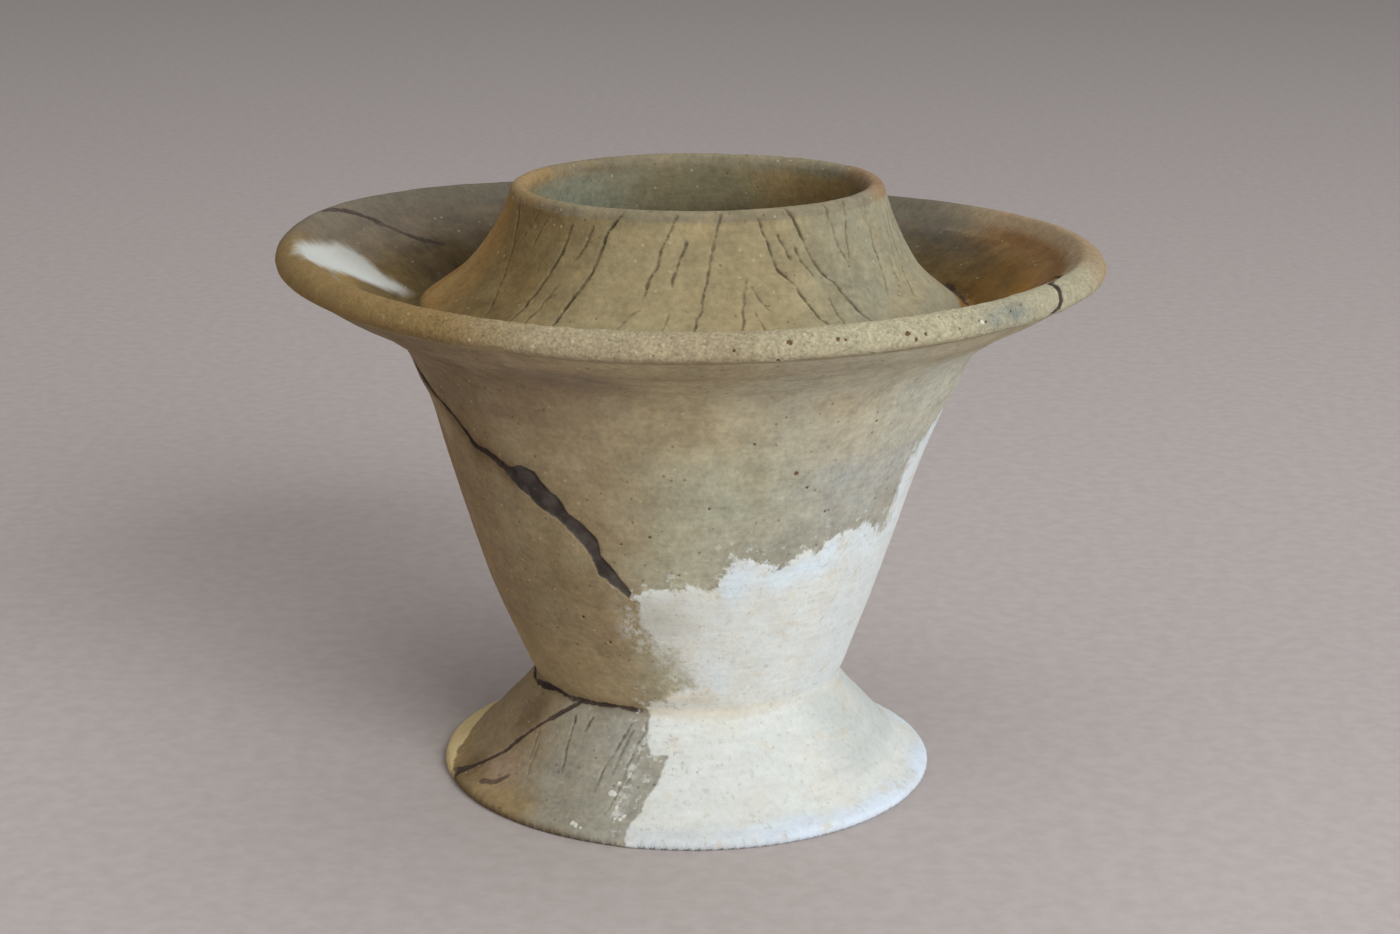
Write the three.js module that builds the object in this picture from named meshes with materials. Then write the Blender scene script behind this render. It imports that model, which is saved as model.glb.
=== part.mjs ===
// Footed jar: a hollow hand-built pottery vessel in one piece. A flaring hollow foot carries a
// body that widens upward; a wide upturned flange runs round the shoulder, and inside it rises
// a truncated-cone collar with a round mouth. Millimetres, +Z up, foot ring on z = 0.
import * as THREE from "three";

// ---- driving dimensions -------------------------------------------------------------------
const SEGMENTS = 80; // facets round the axis

// foot
const FOOT_R = 49.1; // outermost radius of the rounded foot edge
const FOOT_EDGE_Z = 0.9; // height of that outermost circle
const FOOT_EDGE_TOP = 2.3; // height where the edge rounds over into the cone
const FOOT_CONTACT_R = 47.9; // outer radius of the flat ring that stands on the ground
const FOOT_RING_W = 4.4; // width of that flat ring
const FOOT_CEILING_Z = 13.6; // underside of the vessel floor on the axis
const FOOT_HOLLOW_TOP_R = 25.5; // radius where the hollow rounds into its ceiling

// waist and body
const WAIST_R = 30.3; // groove between foot and body
const WAIST_Z = 19.2;
const BODY_Z0 = 21.4; // bottom of the body wall, just above the groove
const BODY_R0 = 31.3;
const BODY_Z1 = 40.0; // lower third
const BODY_R1 = 38.6;
const BODY_Z2 = 60.0; // middle
const BODY_R2 = 45.0;
const BODY_Z3 = 76.0; // upper third
const BODY_R3 = 50.2;
const SHOULDER_Z = 81.1; // where the wall turns out into the flange
const SHOULDER_R = 52.8;
const BODY_WALL = 5.4;
const FLOOR_Z = 20.4; // inside floor on the axis
const CAVITY_CORNER_R = 22.4; // radius of the flat part of the inside floor
const CAVITY_CORNER_Z = 22.6;

// flange
const FLANGE_R1 = 56.0; // underside stations, from the shoulder out to the lip
const FLANGE_Z1 = 88.0;
const FLANGE_R2 = 60.8;
const FLANGE_Z2 = 91.6;
const FLANGE_R3 = 66.4;
const FLANGE_Z3 = 94.9;
const FLANGE_R4 = 72.0;
const FLANGE_Z4 = 97.7;
const LIP_LOW_R = 77.2; // lower edge of the lip
const LIP_LOW_Z = 101.0;
const RIM_R = 80.0; // outermost circle of the lip
const RIM_Z = 102.8;
const RIDGE_R = 75.6; // crest of the lip
const RIDGE_Z = 106.6;
const FLANGE_WALL = 5.0;
const CHANNEL_R = 55.6; // lowest circle of the channel between flange and collar
const CHANNEL_Z = 93.4;

// collar and mouth
const COLLAR_R0 = 52.5; // collar face stations, from the channel up to the mouth
const COLLAR_Z0 = 95.0;
const COLLAR_R1 = 44.4;
const COLLAR_Z1 = 101.4;
const COLLAR_R2 = 39.0;
const COLLAR_Z2 = 109.4;
const MOUTH_R = 36.2; // outer radius of the mouth lip
const MOUTH_Z = 118.4; // crest of the mouth lip
const MOUTH_WALL = 3.7;
const COLLAR_WALL = 4.6;
const THROAT_R = 46.9; // widest circle of the inside, under the shoulder
const THROAT_Z = 82.0;

// small unevenness of the hand building
const LEAN_BODY = -1.0; // sideways shift of the body's middle
const LEAN_MOUTH = 1.1; // sideways shift of the mouth
const FLANGE_TILT = -0.0077; // rise of the flange per millimetre to the side
const FLANGE_WAVE_C = 1.07; // two-fold wave of the flange height
const FLANGE_WAVE_S = -0.71;
const MOUTH_TILT = 0.0133;
const GROOVE_TILT = 0.04; // rise of the groove per millimetre to the front
const FOOT_BACK = 0.07; // how much flatter the foot is at the back

// ---- helpers ------------------------------------------------------------------------------
const V = (r, z) => new THREE.Vector2(r, z);

// n + 1 points of a smooth curve through the stations; the first is left out when joined on
function smooth(stations, n, skipFirst = true) {
  const pts = new THREE.SplineCurve(stations).getSpacedPoints(n);
  return skipFirst ? pts.slice(1) : pts;
}

// quarter-like rounding from a to b round the corner c
function round(a, c, b, n) {
  return new THREE.QuadraticBezierCurve(a, c, b).getPoints(n).slice(1);
}

// the stations moved square to their own direction
function offset(stations, d) {
  return stations.map((p, i) => {
    const q = stations[Math.max(0, i - 1)];
    const s = stations[Math.min(stations.length - 1, i + 1)];
    const t = s.clone().sub(q).normalize();
    return V(p.x - t.y * d, p.y + t.x * d);
  });
}

// ---- outer stations -----------------------------------------------------------------------
const footCone = [
  V(WAIST_R, WAIST_Z),
  V(WAIST_R + 2.6, WAIST_Z - 3.6),
  V(37.0, 11.2),
  V(41.0, 6.9),
  V(44.9, 3.7),
  V(FOOT_R - 1.6, FOOT_EDGE_TOP),
];
const bodyWall = [
  V(BODY_R0, BODY_Z0),
  V(BODY_R1, BODY_Z1),
  V(BODY_R2, BODY_Z2),
  V(BODY_R3, BODY_Z3),
  V(SHOULDER_R, SHOULDER_Z),
];
const flangeUnder = [
  V(SHOULDER_R, SHOULDER_Z),
  V(FLANGE_R1, FLANGE_Z1),
  V(FLANGE_R2, FLANGE_Z2),
  V(FLANGE_R3, FLANGE_Z3),
  V(FLANGE_R4, FLANGE_Z4),
  V(LIP_LOW_R, LIP_LOW_Z),
];
const collarFace = [
  V(COLLAR_R0, COLLAR_Z0),
  V(COLLAR_R1, COLLAR_Z1),
  V(COLLAR_R2, COLLAR_Z2),
  V(MOUTH_R, MOUTH_Z - 2.2),
];

// ---- closed half section, from the axis inside the vessel round to the axis under the foot --
// each entry: [points, how much the flange's wave moves them, how much the mouth's tilt does, and the groove's]
const bodyInside = offset(bodyWall.slice(0, 4), BODY_WALL);
const collarInside = offset(collarFace, COLLAR_WALL).reverse();
const flangeTop = offset(flangeUnder, FLANGE_WALL).slice(2, 5);

const sections = [
  // inside floor and wall up to the throat
  [[V(0, FLOOR_Z), V(CAVITY_CORNER_R * 0.55, FLOOR_Z + 0.3), V(CAVITY_CORNER_R, CAVITY_CORNER_Z)], 0, 0],
  [round(V(CAVITY_CORNER_R, CAVITY_CORNER_Z), V(27.2, 24.4), V(29.0, 30.0), 2), 0, 0],
  [smooth([V(29.0, 30.0), ...bodyInside.slice(1), V(THROAT_R, THROAT_Z)], 5), 0, 0],
  [round(V(THROAT_R, THROAT_Z), V(47.6, 88.4), V(44.6, 93.0), 2), 0, 0.1],
  [smooth([V(44.6, 93.0), ...collarInside.slice(1, 3).reverse(), V(MOUTH_R - MOUTH_WALL, MOUTH_Z - 2.4)], 4), 0, 0.6],
  // mouth lip
  [round(V(MOUTH_R - MOUTH_WALL, MOUTH_Z - 2.4), V(MOUTH_R - MOUTH_WALL, MOUTH_Z), V(MOUTH_R - MOUTH_WALL / 2, MOUTH_Z), 2), 0, 1],
  [round(V(MOUTH_R - MOUTH_WALL / 2, MOUTH_Z), V(MOUTH_R, MOUTH_Z), V(MOUTH_R, MOUTH_Z - 2.2), 2), 0, 1],
  // collar face down into the channel
  [smooth([...collarFace].reverse(), 5), 0, 0.6],
  [round(V(COLLAR_R0, COLLAR_Z0), V(CHANNEL_R - 1.5, CHANNEL_Z + 0.1), V(CHANNEL_R, CHANNEL_Z), 2), 0.1, 0.1],
  // upper face of the flange and its lip
  [smooth([V(CHANNEL_R, CHANNEL_Z), ...flangeTop], 4), 0.6, 0],
  [round(flangeTop[flangeTop.length - 1], V(RIDGE_R - 1.8, RIDGE_Z - 1.6), V(RIDGE_R, RIDGE_Z), 1), 1, 0],
  [round(V(RIDGE_R, RIDGE_Z), V(RIM_R - 0.6, RIDGE_Z - 0.4), V(RIM_R, RIM_Z), 3), 1, 0],
  [round(V(RIM_R, RIM_Z), V(RIM_R - 0.3, LIP_LOW_Z + 0.8), V(LIP_LOW_R, LIP_LOW_Z), 1), 1, 0],
  [smooth([...flangeUnder].reverse(), 5), 0.6, 0],
  // outside of the body down to the groove, then the foot
  [smooth([...bodyWall].reverse(), 6), 0, 0, 1],
  [[V(WAIST_R + 0.15, WAIST_Z + 1.0), V(WAIST_R, WAIST_Z)], 0, 0, 1],
  [smooth(footCone, 5), 0, 0, 1],
  [round(V(FOOT_R - 1.6, FOOT_EDGE_TOP), V(FOOT_R, FOOT_EDGE_TOP - 0.5), V(FOOT_R, FOOT_EDGE_Z), 1), 0, 0],
  [round(V(FOOT_R, FOOT_EDGE_Z), V(FOOT_R - 0.1, 0), V(FOOT_CONTACT_R, 0), 2), 0, 0],
  // flat ring and the hollow under the foot
  [[V(FOOT_CONTACT_R - FOOT_RING_W, 0)], 0, 0],
  [smooth([V(FOOT_CONTACT_R - FOOT_RING_W, 0), V(36.2, 4.6), V(FOOT_HOLLOW_TOP_R + 3.2, 9.6)], 2), 0, 0],
  [round(V(FOOT_HOLLOW_TOP_R + 3.2, 9.6), V(FOOT_HOLLOW_TOP_R, FOOT_CEILING_Z - 0.4), V(FOOT_HOLLOW_TOP_R * 0.6, FOOT_CEILING_Z - 0.1), 2), 0, 0],
  [[V(0, FOOT_CEILING_Z)], 0, 0],
];

const profile = [];
const flangeShare = [];
const mouthShare = [];
const grooveShare = [];
for (const [pts, flange, mouth, groove] of sections) {
  for (const p of pts) {
    profile.push(p);
    // the flange's wave grows from the shoulder to the lip, the tilt from the shoulder to the mouth
    flangeShare.push(flange === 0 ? 0 : THREE.MathUtils.smoothstep(p.x, SHOULDER_R, RIM_R * 0.92));
    mouthShare.push(mouth === 0 ? 0 : THREE.MathUtils.smoothstep(p.y, CHANNEL_Z, MOUTH_Z - 3));
    // the groove's tilt fades out down the foot and up the body
    grooveShare.push(groove ? THREE.MathUtils.smoothstep(p.y, 3, 19) * (1 - THREE.MathUtils.smoothstep(p.y, 22, 44)) : 0);
  }
}
profile.reverse();
flangeShare.reverse();
mouthShare.reverse();
grooveShare.reverse();

// ---- revolve, stand upright, and give the small unevenness ---------------------------------
const geometry = new THREE.LatheGeometry(profile, SEGMENTS);
geometry.rotateX(Math.PI / 2);
const pos = geometry.getAttribute("position");
const sway = (z) => {
  const low = THREE.MathUtils.smoothstep(z, 15, 42) * (1 - THREE.MathUtils.smoothstep(z, 62, 84));
  return LEAN_BODY * low;
};
for (let i = 0; i < pos.count; i++) {
  const j = i % profile.length;
  const x = pos.getX(i);
  const y = pos.getY(i);
  const z = pos.getZ(i);
  const a = Math.atan2(y, x);
  const f = flangeShare[j];
  const m = mouthShare[j];
  const back = y > 0 ? FOOT_BACK * (1 - THREE.MathUtils.smoothstep(z, 0, 19)) : 0;
  pos.setX(i, x + sway(z) + LEAN_MOUTH * m);
  pos.setY(i, y * (1 - back));
  pos.setZ(
    i,
    z +
      f * (FLANGE_TILT * x + FLANGE_WAVE_C * Math.cos(2 * a) + FLANGE_WAVE_S * Math.sin(2 * a)) +
      m * MOUTH_TILT * x -
      grooveShare[j] * GROOVE_TILT * y,
  );
}
geometry.computeVertexNormals();

const footedJar = new THREE.Mesh(
  geometry,
  new THREE.MeshStandardMaterial({ color: 0x8d8369, roughness: 0.85, metalness: 0 }),
);
footedJar.name = "footed_jar";

const jar = new THREE.Group();
jar.name = "footed_jar_part";
jar.add(footedJar);

export default jar;
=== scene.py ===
"""Looks of the footed jar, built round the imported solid. Metres in Blender; the shape code below works in millimetres."""

import math

import bpy
import numpy as np
from mathutils import Matrix, Vector


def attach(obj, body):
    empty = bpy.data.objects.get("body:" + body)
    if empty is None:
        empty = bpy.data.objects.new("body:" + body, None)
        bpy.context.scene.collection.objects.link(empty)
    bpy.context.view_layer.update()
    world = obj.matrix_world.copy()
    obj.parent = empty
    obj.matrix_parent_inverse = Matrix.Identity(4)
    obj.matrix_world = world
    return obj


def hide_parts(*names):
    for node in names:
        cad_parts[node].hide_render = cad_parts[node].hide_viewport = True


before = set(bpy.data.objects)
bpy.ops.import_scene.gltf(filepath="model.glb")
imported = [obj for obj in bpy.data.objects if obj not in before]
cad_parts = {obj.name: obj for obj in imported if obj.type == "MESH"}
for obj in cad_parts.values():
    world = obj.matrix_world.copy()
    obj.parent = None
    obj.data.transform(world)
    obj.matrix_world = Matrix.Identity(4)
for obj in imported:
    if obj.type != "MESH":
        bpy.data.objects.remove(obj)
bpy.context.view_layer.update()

MM = 0.001
PI = math.pi

# =====================================================================================================================
# Camera: at the photograph's viewing angle, image taken as 1400 x 934
# =====================================================================================================================
CAM_F_PX = 2600.0
CAM_DIST = 6.2130 * 0.080
CAM_HEIGHT = 2.4922 * 0.080
CAM_YAW = 0.0043
CAM_PITCH = 0.2716
CAM_ROLL = 0.0100

fw = Vector((math.sin(CAM_YAW) * math.cos(CAM_PITCH), math.cos(CAM_YAW) * math.cos(CAM_PITCH), -math.sin(CAM_PITCH)))
rt = fw.cross(Vector((0, 0, 1))).normalized()
up = rt.cross(fw)
rt2 = math.cos(CAM_ROLL) * rt + math.sin(CAM_ROLL) * up
up2 = -math.sin(CAM_ROLL) * rt + math.cos(CAM_ROLL) * up
cam_data = bpy.data.cameras.new("view_camera")
cam_data.sensor_fit = "HORIZONTAL"
cam_data.sensor_width = 36.0
cam_data.lens = CAM_F_PX / 1400.0 * 36.0
cam_data.clip_start = 0.01
cam_data.clip_end = 20.0
cam = bpy.data.objects.new("view_camera", cam_data)
bpy.context.scene.collection.objects.link(cam)
m = Matrix((rt2, up2, -fw)).transposed().to_4x4()
m.translation = Vector((0, -CAM_DIST, CAM_HEIGHT))
cam.matrix_world = m
bpy.context.scene.camera = cam

# =====================================================================================================================
# Half section, in the part's own sizes
# =====================================================================================================================
FOOT_R, FOOT_EDGE_Z, FOOT_EDGE_TOP, FOOT_CONTACT_R, FOOT_RING_W = 49.1, 0.9, 2.3, 47.9, 4.4
FOOT_CEILING_Z, FOOT_HOLLOW_TOP_R = 13.6, 25.5
WAIST_R, WAIST_Z = 30.3, 19.2
SHOULDER_R, SHOULDER_Z = 52.8, 81.1
BODY = [(31.3, 21.4), (38.6, 40.0), (45.0, 60.0), (50.2, 76.0), (SHOULDER_R, SHOULDER_Z)]
BODY_WALL = 5.4
FLOOR_Z, CAVITY_CORNER_R, CAVITY_CORNER_Z = 20.4, 22.4, 22.6
UNDER = [(SHOULDER_R, SHOULDER_Z), (56.0, 88.0), (60.8, 91.6), (66.4, 94.9), (72.0, 97.7), (77.2, 101.0)]
RIM_R, RIM_Z, RIDGE_R, RIDGE_Z, FLANGE_WALL = 80.0, 102.8, 75.6, 106.6, 5.0
CHANNEL_R, CHANNEL_Z = 55.6, 93.4
MOUTH_R, MOUTH_Z, MOUTH_WALL, COLLAR_WALL = 36.2, 118.4, 3.7, 4.6
COLLAR = [(52.5, 95.0), (44.4, 101.4), (39.0, 109.4), (MOUTH_R, MOUTH_Z - 2.2)]
THROAT_R, THROAT_Z = 46.9, 82.0
LEAN_BODY, LEAN_MOUTH = -1.0, 1.1
FLANGE_TILT, FLANGE_WAVE_C, FLANGE_WAVE_S, MOUTH_TILT = -0.0077, 1.07, -0.71, 0.0133
GROOVE_TILT, FOOT_BACK = 0.04, 0.07


def spline(stations, n):
    """Uniform Catmull-Rom through the stations, n steps a span."""
    p = np.array(stations, float)
    out = [p[0]]
    k = len(p)
    for i in range(k - 1):
        a, b, c, d = p[max(i - 1, 0)], p[i], p[i + 1], p[min(i + 2, k - 1)]
        for t in np.linspace(0, 1, n + 1)[1:]:
            v0, v1 = (c - a) * 0.5, (d - b) * 0.5
            out.append((2 * b - 2 * c + v0 + v1) * t**3 + (-3 * b + 3 * c - 2 * v0 - v1) * t**2 + v0 * t + b)
    return np.array(out)


def bend(a, c, b, n=10):
    a, c, b = (np.array(v, float) for v in (a, c, b))
    t = np.linspace(0, 1, n + 1)[:, None]
    return (1 - t) ** 2 * a + 2 * (1 - t) * t * c + t * t * b


def offset(stations, d):
    p = np.array(stations, float)
    q = np.vstack([p[:1], p[:-1]])
    s = np.vstack([p[1:], p[-1:]])
    t = s - q
    t /= np.linalg.norm(t, axis=1)[:, None]
    return np.stack([p[:, 0] - t[:, 1] * d, p[:, 1] + t[:, 0] * d], 1)


def smoothstep(x, a, b):
    t = np.clip((np.asarray(x, float) - a) / (b - a), 0, 1)
    return t * t * (3 - 2 * t)


body_in = offset(BODY[:4], BODY_WALL)
collar_in = offset(COLLAR, COLLAR_WALL)
flange_top = offset(UNDER, FLANGE_WALL)[2:5]
foot_cone = [(WAIST_R, WAIST_Z), (WAIST_R + 2.6, WAIST_Z - 3.6), (37.0, 11.2), (41.0, 6.9), (44.9, 3.7), (FOOT_R - 1.6, FOOT_EDGE_TOP)]
lip_in = tuple(flange_top[-1])

# zones: 0 inside, 1 mouth lip, 2 collar, 3 channel and flange top, 4 flange lip, 5 flange underside, 6 body, 7 foot, 8 under the foot
SECTIONS = [
    (np.array([(0, FLOOR_Z), (CAVITY_CORNER_R * 0.3, FLOOR_Z + 0.05), (CAVITY_CORNER_R * 0.65, FLOOR_Z + 0.5), (CAVITY_CORNER_R, CAVITY_CORNER_Z)]), 0, 0, 0),
    (bend((CAVITY_CORNER_R, CAVITY_CORNER_Z), (27.2, 24.4), (29.0, 30.0)), 0, 0, 0),
    (spline([(29.0, 30.0), *body_in[1:], (THROAT_R, THROAT_Z)], 10), 0, 0, 0),
    (bend((THROAT_R, THROAT_Z), (47.6, 88.4), (44.6, 93.0)), 0, 0, 1),
    (spline([(44.6, 93.0), *collar_in[1:3], (MOUTH_R - MOUTH_WALL, MOUTH_Z - 2.4)], 10), 0, 0, 1),
    (bend((MOUTH_R - MOUTH_WALL, MOUTH_Z - 2.4), (MOUTH_R - MOUTH_WALL, MOUTH_Z), (MOUTH_R - MOUTH_WALL / 2, MOUTH_Z)), 1, 0, 1),
    (bend((MOUTH_R - MOUTH_WALL / 2, MOUTH_Z), (MOUTH_R, MOUTH_Z), (MOUTH_R, MOUTH_Z - 2.2)), 1, 0, 1),
    (spline(COLLAR[::-1], 12), 2, 0, 1),
    (bend(COLLAR[0], (CHANNEL_R - 1.5, CHANNEL_Z + 0.1), (CHANNEL_R, CHANNEL_Z)), 3, 1, 1),
    (spline([(CHANNEL_R, CHANNEL_Z), *flange_top], 10), 3, 1, 0),
    (bend(lip_in, (RIDGE_R - 1.8, RIDGE_Z - 1.6), (RIDGE_R, RIDGE_Z), 6), 4, 1, 0),
    (bend((RIDGE_R, RIDGE_Z), (RIM_R - 0.6, RIDGE_Z - 0.4), (RIM_R, RIM_Z), 12), 4, 1, 0),
    (bend((RIM_R, RIM_Z), (RIM_R - 0.3, UNDER[-1][1] + 0.8), UNDER[-1], 6), 4, 1, 0),
    (spline(UNDER[::-1], 10), 5, 1, 0),
    (spline(BODY[::-1], 14), 6, 0, 0),
    (np.array([(WAIST_R + 0.15, WAIST_Z + 1.0), (WAIST_R, WAIST_Z)]), 6, 0, 0),
    (spline(foot_cone, 8), 7, 0, 0),
    (bend((FOOT_R - 1.6, FOOT_EDGE_TOP), (FOOT_R, FOOT_EDGE_TOP - 0.5), (FOOT_R, FOOT_EDGE_Z), 5), 7, 0, 0),
    (bend((FOOT_R, FOOT_EDGE_Z), (FOOT_R - 0.1, 0), (FOOT_CONTACT_R, 0), 5), 7, 0, 0),
    (np.array([(FOOT_CONTACT_R - FOOT_RING_W, 0)]), 8, 0, 0),
    (spline([(FOOT_CONTACT_R - FOOT_RING_W, 0), (36.2, 4.6), (FOOT_HOLLOW_TOP_R + 3.2, 9.6)], 8), 8, 0, 0),
    (bend((FOOT_HOLLOW_TOP_R + 3.2, 9.6), (FOOT_HOLLOW_TOP_R, FOOT_CEILING_Z - 0.4), (FOOT_HOLLOW_TOP_R * 0.6, FOOT_CEILING_Z - 0.1)), 8, 0, 0),
    (np.array([(0, FOOT_CEILING_Z)]), 8, 0, 0),
]


def make_profile():
    pts, zone, fl, mo = [], [], [], []
    for p, z, f, mth in SECTIONS:
        for q in p:
            if pts and np.hypot(*(np.array(q) - pts[-1])) < 1e-6:
                continue
            pts.append(np.array(q, float))
            zone.append(z)
            fl.append(f)
            mo.append(mth)
    pts = np.array(pts)
    seg = np.hypot(*np.diff(pts, axis=0).T)
    s = np.concatenate([[0], np.cumsum(seg)])
    step = 0.25
    n = int(s[-1] / step) + 1
    u = np.linspace(0, s[-1], n)
    P = np.stack([np.interp(u, s, pts[:, 0]), np.interp(u, s, pts[:, 1])], 1)
    # the clay's corners are soft: a moving average, narrow at the groove and at the standing ring
    d_groove = np.abs(P[:, 1] - WAIST_Z) + 3 * np.abs(P[:, 0] - WAIST_R)
    keep = np.exp(-((d_groove / 4.0) ** 2)) + (P[:, 1] < 0.4) * (P[:, 0] > 43) * 1.0
    S = P.copy()
    for _ in range(14):
        A = S.copy()
        A[1:-1] = 0.25 * S[:-2] + 0.5 * S[1:-1] + 0.25 * S[2:]
        S = A + (S - A) * np.clip(keep, 0, 1)[:, None] * 0.9
    S[0], S[-1] = P[0], P[-1]
    ds = np.concatenate([[0], np.cumsum(np.hypot(*np.diff(S, axis=0).T))])
    near = np.searchsorted(s, u, side="right") - 1
    near = np.clip(near + (u - s[np.clip(near, 0, len(s) - 1)] > 0), 0, len(s) - 1)
    zone = np.array(zone)[near]
    fl = np.array(fl)[near] * smoothstep(S[:, 0], SHOULDER_R, RIM_R * 0.92)
    mo = np.array(mo)[near] * smoothstep(S[:, 1], CHANNEL_Z, MOUTH_Z - 3)
    gr = np.isin(zone, [6, 7]) * smoothstep(S[:, 1], 3, 19) * (1 - smoothstep(S[:, 1], 22, 44))
    t = np.gradient(S, axis=0)
    t /= np.linalg.norm(t, axis=1)[:, None] + 1e-12
    nrm = np.stack([t[:, 1], -t[:, 0]], 1)  # points out of the clay
    return dict(s=ds, r=S[:, 0], z=S[:, 1], zone=zone, fl=fl, mo=mo, gr=gr, nr=nrm[:, 0], nz=nrm[:, 1])


PR = make_profile()
S_END = PR["s"][-1]


def prof(key, s):
    return np.interp(s, PR["s"], PR[key])


def zone_of(s):
    return PR["zone"][np.clip(np.searchsorted(PR["s"], s), 0, len(PR["s"]) - 1)]


def base_point(th, s):
    """Undisplaced surface point; th is 0 at the front (-Y) and grows to the right (+X)."""
    r, z = prof("r", s), prof("z", s)
    x, y = r * np.sin(th), -r * np.cos(th)
    a = np.arctan2(y, x)
    f, mth = prof("fl", s), prof("mo", s)
    zz = z + f * (FLANGE_TILT * x + FLANGE_WAVE_C * np.cos(2 * a) + FLANGE_WAVE_S * np.sin(2 * a)) + mth * MOUTH_TILT * x
    low = smoothstep(z, 15, 42) * (1 - smoothstep(z, 62, 84))
    xx = x + LEAN_BODY * low + LEAN_MOUTH * mth
    zz = zz - prof("gr", s) * GROOVE_TILT * y
    yy = y * (1 - (y > 0) * FOOT_BACK * (1 - smoothstep(z, 0, 19)))
    return np.stack([xx, yy, zz], 1)


def s_at(zones, value, key="z"):
    """Arc position in the given zones where z (or r) is nearest to value."""
    ok = np.isin(PR["zone"], zones)
    idx = np.where(ok)[0]
    v = PR[key][idx]
    return np.array([PR["s"][idx[np.argmin(np.abs(v - q))]] for q in np.atleast_1d(value)])


# =====================================================================================================================
# Noise (gradient noise on a hashed lattice, the same each run)
# =====================================================================================================================
def _hash(i, j, k, seed):
    h = (i.astype(np.int64) * 374761393 + j.astype(np.int64) * 668265263 + k.astype(np.int64) * 2147483647 + seed * 1274126177) & 0xFFFFFFFF
    h = ((h ^ (h >> 13)) * 1274126177) & 0xFFFFFFFF
    return ((h ^ (h >> 16)) & 0xFFFF) / 65535.0


def noise(P, size, seed=0):
    """Smooth noise in -1..1 with features about size millimetres across."""
    q = np.asarray(P, float) / size
    i = np.floor(q).astype(np.int64)
    f = q - i
    w = f * f * f * (f * (f * 6 - 15) + 10)
    out = np.zeros(len(q))
    for dx in (0, 1):
        for dy in (0, 1):
            for dz in (0, 1):
                a, b, c = i[:, 0] + dx, i[:, 1] + dy, i[:, 2] + dz
                g1, g2 = _hash(a, b, c, seed) * 2 * PI, _hash(a, b, c, seed + 77) * 2 - 1
                g3 = np.sqrt(1 - g2 * g2)
                d = (f[:, 0] - dx) * g3 * np.cos(g1) + (f[:, 1] - dy) * g3 * np.sin(g1) + (f[:, 2] - dz) * g2
                out += d * (w[:, 0] if dx else 1 - w[:, 0]) * (w[:, 1] if dy else 1 - w[:, 1]) * (w[:, 2] if dz else 1 - w[:, 2])
    return out * 1.6


def fbm(P, size, seed=0, octaves=3, gain=0.5):
    out, amp, tot = 0, 1.0, 0.0
    for o in range(octaves):
        out = out + amp * noise(P, size / 2**o, seed + 11 * o)
        tot += amp
        amp *= gain
    return out / tot


def cells(P, size, seed=0):
    """Distance to the nearest of one jittered point a lattice cell, and that cell's own random number."""
    q = np.asarray(P, float) / size
    i = np.floor(q).astype(np.int64)
    best = np.full(len(q), 9.0)
    rnd = np.zeros(len(q))
    for dx in (-1, 0, 1):
        for dy in (-1, 0, 1):
            for dz in (-1, 0, 1):
                a, b, c = i[:, 0] + dx, i[:, 1] + dy, i[:, 2] + dz
                px, py, pz = a + _hash(a, b, c, seed), b + _hash(a, b, c, seed + 5), c + _hash(a, b, c, seed + 9)
                d = np.sqrt((q[:, 0] - px) ** 2 + (q[:, 1] - py) ** 2 + (q[:, 2] - pz) ** 2)
                nearer = d < best
                best = np.where(nearer, d, best)
                rnd = np.where(nearer, _hash(a, b, c, seed + 31), rnd)
    return best * size, rnd


# =====================================================================================================================
# From places on the pot to surface parameters
# =====================================================================================================================
ZONES = {"inside": [0], "mouth": [1], "collar": [2], "channel": [3], "lip": [4], "under": [5], "body": [6], "foot": [7], "base": [8]}


def locate(th_deg, z, zones, r=None):
    """(theta, s) of the surface point seen at azimuth th_deg and height z (and radius r, where the height alone can't say)."""
    idx = np.where(np.isin(PR["zone"], zones))[0]
    s_all = PR["s"][idx]
    target = math.radians(th_deg)
    th = target
    for _ in range(4):
        p = base_point(np.full(len(s_all), th), s_all)
        miss = (p[:, 2] - z) ** 2
        if r is not None:
            miss = miss + (np.hypot(p[:, 0], p[:, 1]) - r) ** 2
        k = int(np.argmin(miss))
        az = math.atan2(p[k, 0], -p[k, 1])
        th += (target - az + PI) % (2 * PI) - PI
    return th, float(s_all[k])


def curve(points, zones, step=0.5, wander=0.0):
    """Surface curve through places (azimuth, z) or (azimuth, z, r): arrays theta, s, and the points in space, every step mm."""
    ts = np.array([locate(p[0], p[1], zones, p[2] if len(p) > 2 else None) for p in points])
    ts[:, 0] = np.unwrap(ts[:, 0])
    fine = spline(ts, 12)
    q = base_point(fine[:, 0], fine[:, 1])
    d = np.concatenate([[0], np.cumsum(np.linalg.norm(np.diff(q, axis=0), axis=1))])
    n = max(2, int(d[-1] / step) + 1)
    u = np.linspace(0, d[-1], n)
    th, s = np.interp(u, d, fine[:, 0]), np.interp(u, d, fine[:, 1])
    if wander:
        q = base_point(th, s)
        th = th + wander * noise(q, 2.3, 711) / np.maximum(prof("r", s), 8.0)
        s = s + 0.3 * wander * noise(q, 2.3, 712)
    return th, s, base_point(th, s)


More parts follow.
